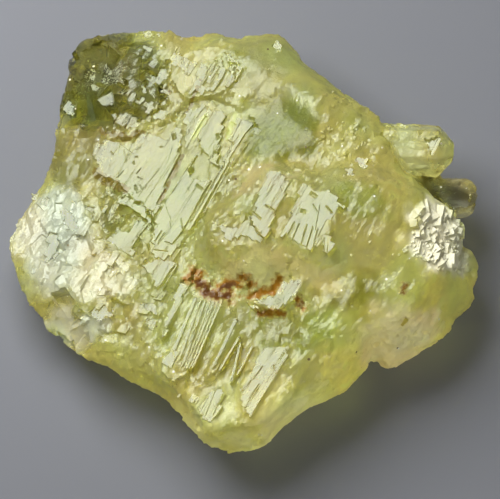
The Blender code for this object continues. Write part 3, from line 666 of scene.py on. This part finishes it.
# V-shaped grooves and pits in the plates: start and end along and across the c axis, width, and
# the level of the plate they are in, in millimetres
GROOVES = [
    (0.57, 9.56, -0.03, 8.97, 0.09, 0.0), (1.30, 9.35, -0.15, 9.05, 0.07, 0.0),
    (1.29, 8.68, 0.93, 8.91, 0.10, 0.0), (0.51, 8.70, 0.62, 8.51, 0.16, 0.0),
    (0.25, 8.61, 0.07, 8.45, 0.16, 0.0), (1.87, 7.66, 1.95, 7.45, 0.16, 0.0),
    (-0.38, 7.96, 0.07, 7.91, 0.10, 0.0), (-0.52, 7.79, -0.50, 7.41, 0.13, 0.0),
    (-1.06, 7.66, -1.42, 7.19, 0.20, 0.0), (-0.90, 7.38, -1.09, 7.02, 0.14, 0.0),
    (0.08, 10.29, -0.05, 9.97, 0.14, 0.0), (0.31, 11.11, 0.25, 10.95, 0.10, 0.0),
    (-1.30, 7.12, 0.57, 6.81, 0.06, 0.0), (-1.45, 5.63, -1.07, 5.70, 0.22, 0.0),
    (0.76, 10.04, 0.64, 8.87, 0.06, 0.0), (3.07, 7.35, 2.75, 7.05, 0.30, 0.0),
    (-1.2, 8.9, -0.6, 8.8, 0.10, 0.0), (2.2, 6.9, 1.2, 6.6, 0.05, 0.0),
    (0.87, 4.22, 0.81, 3.65, 0.24, 0.04), (-1.97, 4.35, -2.32, 4.04, 0.09, 0.04),
    (-1.51, 3.81, -2.15, 3.20, 0.14, 0.04), (-3.61, 4.42, -2.78, 4.43, 0.14, 0.04),
    (-4.11, 4.24, -3.75, 3.33, 0.12, 0.04), (-3.3, 3.9, -3.2, 3.3, 0.12, 0.04),
    (-2.74, 4.23, -3.57, 4.22, 0.10, 0.04), (-1.31, 5.09, -1.88, 4.33, 0.06, 0.04),
    (0.45, 4.56, 0.31, 4.39, 0.10, 0.04), (4.41, 4.88, 4.13, 4.55, 0.28, 0.07),
    (3.31, 4.36, 3.27, 4.02, 0.19, 0.07), (5.59, 6.08, 5.64, 5.72, 0.19, 0.07),
    (4.26, 5.83, 5.49, 5.86, 0.06, 0.07), (3.35, 5.53, 5.08, 5.70, 0.05, 0.07),
    (2.9, 4.2, 3.6, 4.6, 0.05, 0.07), (3.63, 3.74, 5.94, 4.02, 0.06, -0.04),
    (2.77, 3.42, 5.08, 3.62, 0.05, -0.04), (1.56, -0.92, 1.54, -1.68, 0.17, 1.6),
    (0.78, -0.29, 0.66, -1.20, 0.22, 1.6), (0.12, -0.64, -0.36, -1.93, 0.20, 1.6),
    (3.11, -1.11, 2.81, -1.39, 0.06, 1.6), (2.4, -0.5, 3.2, -0.4, 0.05, 1.6),
    (1.56, -3.11, 0.30, -3.27, 0.14, 1.5), (1.59, -3.43, 0.30, -3.67, 0.12, 1.5),
    (1.78, -3.90, 0.40, -4.30, 0.14, 1.5), (1.86, -4.30, 0.40, -4.72, 0.13, 1.5),
    (1.90, -4.65, 0.60, -5.06, 0.12, 1.5), (3.65, -2.93, 3.59, -3.49, 0.34, 1.5),
    (2.34, -3.02, 2.47, -3.39, 0.32, 1.5), (3.29, -3.90, 1.74, -4.55, 0.07, 1.5),
    (3.42, -4.27, 3.17, -4.88, 0.18, 1.5), (3.1, -3.5, 2.8, -4.0, 0.14, 1.5),
    (2.9, -2.8, 2.0, -2.95, 0.06, 1.5), (1.61, -5.26, 0.84, -5.75, 0.09, 1.4),
    (1.74, -5.48, 0.91, -5.95, 0.09, 1.4), (-8.04, -5.71, -6.97, -5.76, 0.10, -0.6),
    (-9.14, -6.13, -8.07, -6.18, 0.08, -0.6), (-6.6, -6.3, -6.9, -6.6, 0.10, -0.6),
    (-9.9, -4.0, -11.5, -4.3, 0.09, -0.75), (-10.3, -3.8, -11.5, -3.9, 0.07, -0.75),
    (-9.7, -4.5, -11.2, -4.7, 0.09, -0.75), (8.4, 7.3, 7.3, 7.2, 0.10, 0.48),
    (8.2, 7.0, 7.1, 7.0, 0.08, 0.48), (8.6, 7.6, 7.4, 7.5, 0.08, 0.48),
    (8.5, 10.0, 7.6, 9.7, 0.10, 0.50), (8.1, 9.5, 7.2, 9.3, 0.08, 0.50),
    (8.2, 9.0, 7.1, 8.8, 0.10, 0.50),
]


def ragged(outline, dice):
    """An outline whose edges across the c axis are broken into teeth that run along it."""
    broken = []
    for (u, v), (next_u, next_v) in zip(outline, outline[1:] + outline[:1]):
        teeth = round(abs(next_v - v) / FINGER)
        if teeth < 1 or abs(next_v - v) < ACROSS * abs(next_u - u):
            broken.append((u, v))
            continue
        cuts = [0.0] + sorted((k + dice.uniform(-0.3, 0.3)) / teeth for k in range(1, teeth)) + [1.0]
        for start, end in zip(cuts, cuts[1:]):
            end_u = u + (next_u - u) * (start + end) / 2 + dice.uniform(-0.5, 0.5) * JUT
            broken.append((end_u, v + (next_v - v) * (start + FINGER_GAP)))
            end_u += dice.uniform(-0.03, 0.03)
            broken.append((end_u, v + (next_v - v) * (end - FINGER_GAP)))
    return broken


def grown(outline, share):
    """An outline made larger about the middle of its points."""
    middle = [sum(point[axis] for point in outline) / len(outline) for axis in range(2)]
    return [
        tuple(middle[axis] + (point[axis] - middle[axis]) * share for axis in range(2))
        for point in outline
    ]


def groove(name, start, end, width, level):
    """A wedge that cuts a V-shaped groove into a plate between two points."""
    start, end = Vector((*start, 0.0)), Vector((*end, 0.0))
    length = (end - start).length
    bm = bmesh.new()
    bmesh.ops.create_cube(bm, size=1.0)
    bmesh.ops.scale(bm, vec=((length + 0.04) * MM, width * MM, 0.02 * MM), verts=bm.verts)
    for vert in bm.verts:  # the wedge's lower edge is narrow, short and deep in the plate
        if vert.co.z < 0.0:
            vert.co.x *= max(0.2, 1.0 - width / length)
            vert.co.y *= 0.15
            vert.co.z = -min(GROOVE_DEPTH, width * GROOVE_SHAPE) * MM
    turn = Matrix.Rotation(math.atan2(end.y - start.y, end.x - start.x), 4, "Z")
    middle = ((start + end) / 2 + Vector((0.0, 0.0, level))) * MM
    bmesh.ops.transform(bm, matrix=crystal_axes @ Matrix.Translation(middle) @ turn, verts=bm.verts)
    return piece(name, bm)


def stand(name, rim, level, worn, under, lie):
    """Clears the skin over a plate or rib, stands it in the stone, and notes its polished top."""
    over = slab(f"over {name}", grown(rim, OVER_GROWN), (level - under) * MM, level * MM + CLEARED)
    stood = slab(name, rim, level * MM - ROOT, level * MM, worn)
    for made, solids in ((over, cleared), (stood, standing)):
        made.data.transform(lie)
        solids.append(made)
    polished.append([lie @ crystal_axes @ (Vector((u, v, level)) * MM) for u, v in rim])


cleared, standing, polished = [], [], []
for name, (level, outline) in PLATES.items():
    stand(name, ragged(outline, random.Random(name)), level, RIM, UNDER_PLATE, Matrix())
tree = skin_tree()
for name, outline in LAID_PLATES.items():
    middle = sum((Vector((u, v, 0.0)) for u, v in outline), Vector()) / len(outline)
    spots = [
        tree.ray_cast(crystal_axes @ (Vector((u, v, OVER_ALL)) * MM), -PLATE_NORMAL)
        for u, v in [*outline, middle.xy]
    ]
    spots = [(spot, facing) for spot, facing, *_ in spots if spot is not None]
    level = sum((to_crystal @ spot).z for spot, facing in spots) / len(spots) / MM - LAID_DEPTH
    facing = sum((facing for spot, facing in spots), Vector()).normalized()
    at = crystal_axes @ (Vector((middle.x, middle.y, level)) * MM)
    tip = PLATE_NORMAL.rotation_difference(PLATE_NORMAL.lerp(facing, LEANS).normalized())
    lie = Matrix.Translation(at) @ tip.to_matrix().to_4x4() @ Matrix.Translation(-at)
    stand(name, ragged(outline, random.Random(name)), level, RIM, UNDER_PLATE, lie)
for number, (u, v, end_u, end_v, width, level) in enumerate(RIBS, start=1):
    rib = [  # cut slanting at its start, and drawn out to a point at its end
        (u, v - width * 0.2), (u - 0.15, v - width / 2), (end_u + 0.3, end_v - width / 2),
        (end_u, end_v), (end_u + 0.2, end_v + width / 2), (u - 0.1, v + width / 2),
    ]
    stand(f"rib {number}", rib, level, RIM / 2, UNDER_RIB, Matrix())
combine("DIFFERENCE", cleared)
combine("UNION", standing)
combine("DIFFERENCE", [
    groove(f"groove {number}", (u, v), (end_u, end_v), width, level)
    for number, (u, v, end_u, end_v, width, level) in enumerate(GROOVES, start=1)
])

# ---- Golden beryl -----------------------------------------------------------------------------
# Clear yellow-green beryl, tinted through its whole depth. Its plates and broken faces are
# glassy, and its etched skin is satin, which scatters light under the surface.

BERYL_IOR = 1.575


def colour(code):
    """An sRGB hex value as a linear colour."""
    parts = [int(code[i:i + 2], 16) / 255 for i in (0, 2, 4)]
    parts = [part / 12.92 if part < 0.04045 else ((part + 0.055) / 1.055) ** 2.4 for part in parts]
    return (*parts, 1.0)


def put(tree, kind, inputs=None, **settings):
    """Adds a node. Each input is a value or another node's output."""
    node = tree.nodes.new(kind)
    for name, value in settings.items():
        setattr(node, name, value)
    for name, value in (inputs or {}).items():
        if isinstance(value, bpy.types.NodeSocket):
            tree.links.new(value, node.inputs[name])
        else:
            node.inputs[name].default_value = value
    return node


# A finish is a colour, a roughness, how much of the light goes through instead of scattering at
# the skin, how far its small faces lean the plates' way, and how far they tilt apart
SATIN_SKIN = ("fbf4ac", 0.28, 0.80, 0.10, 1.0)
# Middle and half sizes of each patch in millimetres, then its finish. The silver end's near-white is
# painted reflection, and the glassy corner's dark tint is partly painted shade.
FINISHES_WITH_PAINTED_LIGHT = {
    "top right": ((2.6, 10.4, 6.4), (5.2, 3.6, 4.0), "e8eaa8", 0.36, 0.82, 0.0, 0.35),
    "greener valley": ((2.6, 6.2, 7.4), (3.6, 2.4, 2.8), "c2c64e", 0.40, 0.88, 0.0, 0.6),
    "right shoulder": ((8.2, -0.8, 6.8), (5.4, 5.0, 4.4), "f6f0a8", 0.32, 0.76, 0.0, 0.6),
    "right foot": ((7.0, -4.6, 6.4), (3.6, 2.4, 3.4), "c2b85e", 0.34, 0.88, -0.3, 0.6),
    "greener shoulder": ((7.4, 0.6, 8.0), (3.4, 2.4, 3.0), "e6ee8c", 0.30, 0.84, 0.0, 0.8),
    "green foot": ((4.0, -6.6, 6.4), (4.6, 2.2, 3.0), "e6f090", 0.28, 0.84, 0.1, 0.9),
    "brown left edge": ((-10.9, 5.2, 5.4), (1.9, 3.0, 3.2), "ccc484", 0.34, 0.84, 0.0, 0.8),
    "brown block side": ((1.0, 2.6, 8.4), (3.0, 1.5, 2.4), "f8e4b0", 0.30, 0.70, 0.15, 0.8),
    "brown block flank": ((2.4, -3.2, 8.0), (5.0, 1.8, 2.4), "ecdf9c", 0.36, 0.56, 0.0, 0.5),
    "pink lobe": ((9.2, -6.2, 4.4), (3.8, 3.4, 5.0), "fdecbc", 0.36, 0.48, 0.25, 1.2),
    "bottom end": ((1.0, -11.4, 3.8), (6.4, 3.2, 5.0), "f8f2b0", 0.40, 0.46, 0.25, 0.7),
    "great plate's ground": ((-4.2, 4.4, 7.8), (4.4, 4.6, 2.0), "e6ea92", 0.24, 0.86, 0.10, 0.9),
    "upper ledge's ground": ((-1.9, 9.6, 8.0), (2.6, 2.4, 2.0), "ecee96", 0.24, 0.82, 0.28, 0.8),
    "strips' ground": ((-3.0, -7.0, 7.0), (3.6, 3.2, 2.4), "f8f4a2", 0.22, 0.78, 0.35, 1.0),
    # silver end: its near-white tint is painted reflection, the silvery shine of its feathered broken
    # faces and inner cracks
    "silver end": ((-11.9, -0.4, 5.0), (3.5, 4.4, 4.0), "f4f6ee", 0.12, 0.62, 0.42, 1.3),
    "cream low left": ((-9.2, -2.6, 6.2), (2.8, 2.0, 2.6), "fff8dc", 0.16, 0.62, 0.35, 0.8),
    # glassy corner: its dark grey tint is partly the stone's greyer colour there and partly painted
    # shade, the shade under the stone seen through the clear glass
    "glassy corner": ((-9.1, 10.4, 6.4), (4.6, 4.5, 5.4), "b0b296", 0.05, 1.0, -1.0, 0.3),
    "low glassy side": ((-10.2, -5.8, 4.4), (3.3, 1.5, 2.6), "f4f4e6", 0.08, 0.62, 0.4, 0.7),
    "glassy hollow": ((-7.4, 1.8, 7.0), (2.2, 2.4, 2.2), "ececa8", 0.10, 0.92, 0.3, 0.7),
    "white crust": ((11.9, -0.9, 7.0), (3.3, 2.9, 3.8), "fffadc", 0.30, 0.20, 0.6, 1.0),
    "sugary ridge": ((6.2, 5.2, 7.6), (2.4, 1.7, 2.4), "f2e898", 0.30, 0.68, 0.0, 1.3),
    "green crystal": ((10.6, 5.4, 5.8), (2.6, 2.2, 2.4), "f4f8c6", 0.22, 0.64, 0.0, 0.3),
    "clear knob": ((13.5, 2.75, 4.7), (2.2, 1.6, 2.0), "e6e0d6", 0.03, 1.0, 0.0, 0.15),
    "brown knob root": ((11.4, 2.6, 6.2), (1.4, 1.1, 2.2), "80703c", 0.16, 0.90, -0.5, 0.8),
}
PLATE_FINISH = (0.06, 0.93)  # roughness of the plates, and how much of the light goes through

# Rust, slits and lines of painted shade seen from above, as strokes between two points along X and Y
# with a width, in millimetres. Rust lies in the hollow under the block, darkest at its middle; the
# brown strokes are painted shade along the step walls at the borders of the hollows and plates.
STROKES = {
    "rust": [
        (-3.6, -3.3, -3.1, -2.7, 0.30), (-3.1, -2.7, -2.6, -2.9, 0.28), (-2.9, -3.3, -2.4, -4.1, 0.46),
        (-2.4, -4.1, -0.9, -4.5, 0.48), (-1.7, -3.9, -0.4, -3.7, 0.38), (-0.0, -3.4, 0.5, -3.8, 0.26),
        (0.4, -4.6, 2.0, -4.2, 0.32), (1.9, -4.2, 2.2, -3.6, 0.26), (0.9, -5.7, 2.4, -5.8, 0.20),
        (3.4, -5.0, 3.7, -5.5, 0.26), (10.0, -4.2, 9.9, -4.5, 0.20),
    ],
    "dark rust": [
        (-2.8, -3.5, -2.3, -4.2, 0.26), (-2.3, -4.3, -1.0, -4.5, 0.26), (-1.4, -3.9, -0.7, -3.8, 0.16),
    ],
    # brown: painted shade, dark brown lines along the step walls at the borders of the hollows and
    # plates
    "brown": [
        (-9.4, 4.0, -8.7, 3.4, 0.28), (-8.7, 3.4, -7.5, 2.8, 0.28), (-9.0, 6.7, -7.4, 6.2, 0.22),
        (-7.4, 6.2, -6.5, 6.6, 0.18), (-3.9, 4.9, -5.3, 1.8, 0.12), (-2.7, 9.8, -3.6, 7.8, 0.12),
    ],
    "slit": [(-2.3, 7.6, -3.2, 6.0, 0.15), (-0.5, 7.5, -1.0, 5.9, 0.15)],
}
STROKED_FROM = 5.6 * MM  # none of the rust, slit and painted shade strokes lies lower on the stone
FAR = 9.0  # how far off the strokes the rest of the stone counts as, in their widths
FRAYED = (1.6, 0.9)  # size of the waves in the borders of the patches, and how far they reach
CLOUDS = ((1.3, 0.26), (0.5, 0.20))  # size and strength of lighter and darker clouds in the skin
DRIFT = (2.6, "fff6d2", "eeffe2")  # size of yellower and greener parts, and the tint of each
GRAIN_OF_FINISH = 0.6 * MM  # the longest edge of a face that carries a finish
LEVEL_WITH_LID = 0.006 * MM  # how near a face is to a plate's top to be part of it
SHARP_EDGE = math.radians(26)


def finish_with_painted_light_at(point):
    """The stone's finish at a point, with painted light in some patches: the satin skin, with each
    patch laid over it.
    """
    frayed = point + noise.turbulence_vector(point / (FRAYED[0] * MM), 3, False) * (FRAYED[1] * MM)
    finish = [*colour(SATIN_SKIN[0])[:3], *SATIN_SKIN[1:]]
    for middle, half_sizes, code, *over in FINISHES_WITH_PAINTED_LIGHT.values():
        share = eased(within(frayed, middle, half_sizes, 0.35))
        if share:
            patch = (*colour(code)[:3], *over)
            finish = [below + (above - below) * share for below, above in zip(finish, patch)]
    clouds = 1.0 + sum(noise.noise(point / (size * MM)) * strength for size, strength in CLOUDS)
    size, yellower, greener = DRIFT
    drift = ramp(noise.noise(point / (size * MM)), -0.35, 0.35)
    for i, (yellow, green) in enumerate(zip(colour(yellower)[:3], colour(greener)[:3])):
        shade = clouds * (yellow + (green - yellow) * drift) - 1.0
        finish[i] = min(1.0, finish[i] * (1.0 + shade * finish[4]))
    return finish


def off_stroke(point, strokes):
    """How far a point lies from the nearest stroke, in widths of the stroke."""
    nearest = FAR
    if point.z < STROKED_FROM:
        return nearest
    spot = point.xy / MM
    for x, y, end_x, end_y, width in strokes:
        start, end = Vector((x, y)), Vector((end_x, end_y))
        share = max(0.0, min(1.0, (spot - start).dot(end - start) / (end - start).length_squared))
        nearest = min(nearest, (spot - start.lerp(end, share)).length / width)
    return nearest


# Every face of a plate or rib is marked as polished, and sharp edges stay sharp
corners = [corner for lid in polished for corner in lid]
starts = [sum(map(len, polished[:k])) for k in range(len(polished))]
lids = BVHTree.FromPolygons(
    corners, [range(start, start + len(lid)) for start, lid in zip(starts, polished)]
)
bm = bmesh.new()
bm.from_mesh(skin.data)
for _ in range(4):
    long = [edge for edge in bm.edges if edge.calc_length() > GRAIN_OF_FINISH]
    bmesh.ops.subdivide_edges(bm, edges=long, cuts=1)
    bmesh.ops.triangulate(bm, faces=[face for face in bm.faces if len(face.verts) > 4])
mark = bm.faces.layers.float.new("polish")
for face in bm.faces:
    face.smooth = True
    if face.normal.dot(PLATE_NORMAL) > 0.98:
        on_lid, way, *_ = lids.find_nearest(face.calc_center_median(), LEVEL_WITH_LID)
        if on_lid is not None and abs(way.dot(face.normal)) > 0.9998:
            face[mark] = 1.0
for edge in bm.edges:
    if len(edge.link_faces) == 2 and edge.calc_face_angle(0.0) > SHARP_EDGE:
        edge.smooth = False
tints = bm.verts.layers.float_color.new("tint_and_roughness")
ways = bm.verts.layers.float_color.new("clear_lean_tilt")
stroke_distances = bm.verts.layers.float_color.new("off_strokes")
for vert in bm.verts:
    red, green, blue, rough, clear, lean, tilt = finish_with_painted_light_at(vert.co)
    vert[tints] = (red, green, blue, rough)
    vert[ways] = (clear, lean, tilt, 1.0)
    vert[stroke_distances] = [off_stroke(vert.co, strokes) for strokes in STROKES.values()]
bm.to_mesh(skin.data)
bm.free()

BERYL_DEPTH = ("fdfb8a", 62.0)  # colour its depth leaves in the light, and how fast it does so
BERYL_GLOSS = "f6fdee"  # tint of its reflections
SPOT_CELL = 0.62 * MM  # how far apart the sparks and specks can be
# Share of the cells from which a dot shows, and at which it is largest, its size against the
# cell, and its finish
SPOTS = {
    # painted glints: white dots that stand in for light thrown back by small pits, not a colour of the
    # stone
    "painted glints": (0.62, 1.0, 0.13, ("fffef2", 0.3, 0.10, None, None)),
    "dark specks": (0.10, 0.0, 0.14, ("6e5a30", 0.5, 0.40, None, None)),
}
CRUMB = 0.34 * MM  # size of the crumbs in the borders of a stain
# How softly each rust, slit and painted shade stroke ends, in widths of its strokes, and its finish
RUST_SLITS_AND_PAINTED_SHADE = {
    # brown: painted shade along the step walls, not a stain
    "brown": (0.2, ("a8902c", 0.3, 0.80, None, None)),
    "slit": (0.6, ("d8e26a", 0.3, 0.60, None, None)),
    "rust": (0.7, ("a06c10", 0.4, 0.16, -1.5, 1.0)),
    "dark rust": (0.6, ("5c3404", 0.4, 0.0, -1.5, 1.0)),
}
ETCHED_FACES = ((0.55, 0.22), (0.19, 0.32))  # size of the smallest faces, and how far they tilt
ETCHED_ALONG = 0.32  # how wide they are against their length, which runs along the c axis
SATIN_GRAIN = (0.16, 0.03)  # size and height, in millimetres
GROWTH_LINES = (0.26, 0.016)  # how far apart they are, and how deep, in millimetres
LINES_ALONG = 0.05  # how wide a line is against its length

beryl = bpy.data.materials.new("golden_beryl")
beryl.use_nodes = True
tree = beryl.node_tree
surface = tree.nodes["Principled BSDF"]
place = put(tree, "ShaderNodeTexCoord").outputs["Object"]
turned = put(
    tree, "ShaderNodeMapping",
    {"Vector": place, "Location": PLATE_MIDDLE, "Rotation": crystal_turn.to_euler()},
    vector_type="TEXTURE",
).outputs["Vector"]


def lay(mask, finish, *over):
    """Lays a finish over the stone's where the mask is 1. A None in it leaves what is there."""
    laid = []
    for below, above in zip(finish, over):
        if above is None:
            laid.append(below)
        elif isinstance(above, str):
            mixed = put(tree, "ShaderNodeMix", {0: mask, 6: below, 7: colour(above)}, data_type="RGBA")
            laid.append(mixed.outputs[2])
        else:
            laid.append(put(tree, "ShaderNodeMix", {0: mask, 2: below, 3: above}).outputs[0])
    return laid


tinted = put(tree, "ShaderNodeAttribute", attribute_name="tint_and_roughness").outputs
shares = put(tree, "ShaderNodeAttribute", attribute_name="clear_lean_tilt").outputs["Vector"]
finish = [tinted["Color"], tinted["Alpha"], *put(tree, "ShaderNodeSeparateXYZ", {0: shares}).outputs]

# Painted glints, white dots where pits and cracks in the skin would throw the light back, and small
# dark brown specks
cells = put(tree, "ShaderNodeTexVoronoi", {"Vector": place, "Scale": 1 / SPOT_CELL}).outputs
rare = put(tree, "ShaderNodeSeparateXYZ", {0: cells["Color"]}).outputs["Y"]
for start, end, size, over in SPOTS.values():
    reach = put(
        tree, "ShaderNodeMapRange",
        {"Value": rare, "From Min": start, "From Max": end, "To Min": 0.0, "To Max": size},
    ).outputs["Result"]
    spotted = put(tree, "ShaderNodeMath", {0: cells["Distance"], 1: reach}, operation="LESS_THAN")
    finish = lay(spotted.outputs["Value"], finish, *over)

# The polish of the plates, and the rust, slit and painted shade strokes, whose borders fray and crumble
polish = put(tree, "ShaderNodeAttribute", attribute_name="polish").outputs["Fac"]
finish = lay(polish, finish, None, *PLATE_FINISH, 0.0, 0.0)
off = put(tree, "ShaderNodeAttribute", attribute_name="off_strokes").outputs
off = [*put(tree, "ShaderNodeSeparateXYZ", {0: off["Vector"]}).outputs, off["Alpha"]]
crumbs = put(
    tree, "ShaderNodeTexNoise",
    {"Vector": place, "Scale": 1 / CRUMB, "Detail": 4.0, "Roughness": 0.6},
).outputs["Fac"]
crumbs = put(
    tree, "ShaderNodeMapRange",
    {"Value": crumbs, "From Min": 0.30, "From Max": 0.70, "To Min": 0.3, "To Max": 1.8},
).outputs["Result"]
for name, (soft, over) in RUST_SLITS_AND_PAINTED_SHADE.items():
    away = off[list(STROKES).index(name)]
    mask = put(tree, "ShaderNodeMath", {0: crumbs, 1: away}, operation="SUBTRACT").outputs["Value"]
    mask = put(tree, "ShaderNodeMapRange", {"Value": mask, "From Min": -soft, "From Max": soft})
    finish = lay(mask.outputs["Result"], finish, *over)
tint, gloss, clear, lean, tilt = finish

# Small flat faces of the etched skin, in two sizes. Each one looks its own way, so that the ones
# that face the lamp glitter. They are stretched along the c axis, as the etching follows it.
normal = put(tree, "ShaderNodeNewGeometry").outputs["Normal"]
leaning = put(tree, "ShaderNodeVectorMath", {0: PLATE_NORMAL, 1: normal}, operation="SUBTRACT")
normal = put(
    tree, "ShaderNodeVectorMath", {0: leaning.outputs["Vector"], 1: lean, 2: normal},
    operation="MULTIPLY_ADD",
).outputs["Vector"]
stretched = put(
    tree, "ShaderNodeVectorMath", {0: turned, 1: (ETCHED_ALONG, 1.0, 1.0)}, operation="MULTIPLY",
).outputs["Vector"]
for size, apart in ETCHED_FACES:
    faces = put(tree, "ShaderNodeTexVoronoi", {"Vector": stretched, "Scale": 1 / (size * MM)})
    way = put(
        tree, "ShaderNodeVectorMath", {0: faces.outputs["Color"], 1: (0.5, 0.5, 0.5)},
        operation="SUBTRACT",
    ).outputs["Vector"]
    way = put(
        tree, "ShaderNodeVectorMath", {0: way, 1: (apart, apart, apart)}, operation="MULTIPLY",
    ).outputs["Vector"]
    normal = put(
        tree, "ShaderNodeVectorMath", {0: way, 1: tilt, 2: normal}, operation="MULTIPLY_ADD",
    ).outputs["Vector"]
normal = put(tree, "ShaderNodeVectorMath", {0: normal}, operation="NORMALIZE").outputs["Vector"]

# Relief too fine for the mesh: satin grain, and growth lines along the c axis
size, height = SATIN_GRAIN
grain = put(
    tree, "ShaderNodeTexNoise",
    {"Vector": place, "Scale": 1 / (size * MM), "Detail": 2.0, "Roughness": 0.6},
).outputs["Fac"]
grain = put(
    tree, "ShaderNodeMath", {0: grain, 1: height * MM}, operation="MULTIPLY",
).outputs["Value"]
size, height = GROWTH_LINES
lined = put(
    tree, "ShaderNodeVectorMath", {0: turned, 1: (LINES_ALONG, 1.0, 1.0)}, operation="MULTIPLY",
).outputs["Vector"]
lines = put(
    tree, "ShaderNodeTexNoise",
    {"Vector": lined, "Scale": 1 / (size * MM), "Detail": 2.0, "Roughness": 0.7},
).outputs["Fac"]
lines = put(
    tree, "ShaderNodeMapRange",
    {"Value": lines, "From Min": 0.58, "From Max": 0.66, "To Min": 0.0, "To Max": -height * MM},
).outputs["Result"]
relief = put(tree, "ShaderNodeMix", {0: polish, 2: grain, 3: lines}).outputs[0]
raised = put(
    tree, "ShaderNodeBump",
    {"Height": relief, "Distance": 1.0, "Strength": 1.0, "Normal": normal},
).outputs["Normal"]

tree.links.new(tint, surface.inputs["Base Color"])
tree.links.new(raised, surface.inputs["Normal"])
tree.links.new(gloss, surface.inputs["Roughness"])
tree.links.new(clear, surface.inputs["Transmission Weight"])
surface.inputs["IOR"].default_value = BERYL_IOR
surface.inputs["Specular Tint"].default_value = colour(BERYL_GLOSS)
left, density = BERYL_DEPTH
depth = put(tree, "ShaderNodeVolumeAbsorption", {"Color": colour(left), "Density": density})
tree.links.new(depth.outputs["Volume"], tree.nodes["Material Output"].inputs["Volume"])
skin.data.materials.clear()
skin.data.materials.append(beryl)

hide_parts("heliodor_crystal")
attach(skin, "root")

# ---- Floor, light and camera ------------------------------------------------------------------
# A plain pale floor. A soft lamp above the upper left is what the plates throw back to the
# camera, a weaker one fills the near side, and a pale glow round the horizon shines into the
# stone from its sides.

FLOOR_REACH = 1.5  # from its middle to an edge
FLOOR_GAP = 0.06 * MM  # so that the resting face doesn't touch the floor
# Way to the lamp, then its distance and width in millimetres, and its power in watts
LAMPS = {
    "key": ((-0.317, 0.371, 0.859), 76, 53, 0.080),
    "fill": ((0.35, -0.85, 0.38), 120, 90, 0.032),
}
GLOW = "fafaf4"
HORIZON = (0.10, 0.88)  # how high the glow reaches at its full strength, and that strength
OVERHEAD = (0.55, 0.06)  # and the same for the dimmer sky above
CAMERA_ELEVATION = math.radians(75)
CAMERA_DISTANCE = 240 * MM
CAMERA_TARGET = Vector((0.394, -0.659, 4.25)) * MM
FRAME_WIDTH = 500 * 30 / 472 * MM  # the stone's 30 mm take up 472 of the frame's 500 pixels
SENSOR_WIDTH = 36  # in millimetres

bm = bmesh.new()
bmesh.ops.create_grid(bm, x_segments=1, y_segments=1, size=FLOOR_REACH)
bmesh.ops.translate(bm, vec=(0.0, 0.0, -FLOOR_GAP), verts=bm.verts)
floor = piece("floor", bm)
paint = bpy.data.materials.new("matt_floor")
paint.use_nodes = True
matt = paint.node_tree.nodes["Principled BSDF"]
matt.inputs["Base Color"].default_value = colour("7a7c82")
matt.inputs["Roughness"].default_value = 0.8
floor.data.materials.append(paint)

for name, (way, distance, width, power) in LAMPS.items():
    way = Vector(way).normalized()
    glowing = bpy.data.lights.new(name, "AREA")
    glowing.shape = "SQUARE"
    glowing.size = width * MM
    glowing.energy = power
    lamp = bpy.data.objects.new(name, glowing)
    lamp.location = way * (distance * MM)
    lamp.rotation_euler = way.to_track_quat("Z", "Y").to_euler()
    bpy.context.scene.collection.objects.link(lamp)

world = bpy.data.worlds.new("studio")
world.use_nodes = True
sky = world.node_tree
height = put(sky, "ShaderNodeTexCoord").outputs["Generated"]
height = put(sky, "ShaderNodeSeparateXYZ", {0: height}).outputs["Z"]
(low, strong), (high, weak) = HORIZON, OVERHEAD
strength = put(
    sky, "ShaderNodeMapRange",
    {"Value": height, "From Min": low, "From Max": high, "To Min": strong, "To Max": weak},
).outputs["Result"]
sky.nodes["Background"].inputs["Color"].default_value = colour(GLOW)
sky.links.new(strength, sky.nodes["Background"].inputs["Strength"])
bpy.context.scene.world = world
bpy.context.scene.view_settings.view_transform = "Standard"

back = Vector((0.0, -math.cos(CAMERA_ELEVATION), math.sin(CAMERA_ELEVATION)))
lens = bpy.data.cameras.new("camera")
lens.sensor_width = SENSOR_WIDTH
lens.lens = SENSOR_WIDTH * CAMERA_DISTANCE / FRAME_WIDTH
lens.clip_start = 0.01
camera = bpy.data.objects.new("camera", lens)
camera.location = CAMERA_TARGET + back * CAMERA_DISTANCE
camera.rotation_euler = back.to_track_quat("Z", "Y").to_euler()
bpy.context.scene.collection.objects.link(camera)
bpy.context.scene.camera = camera
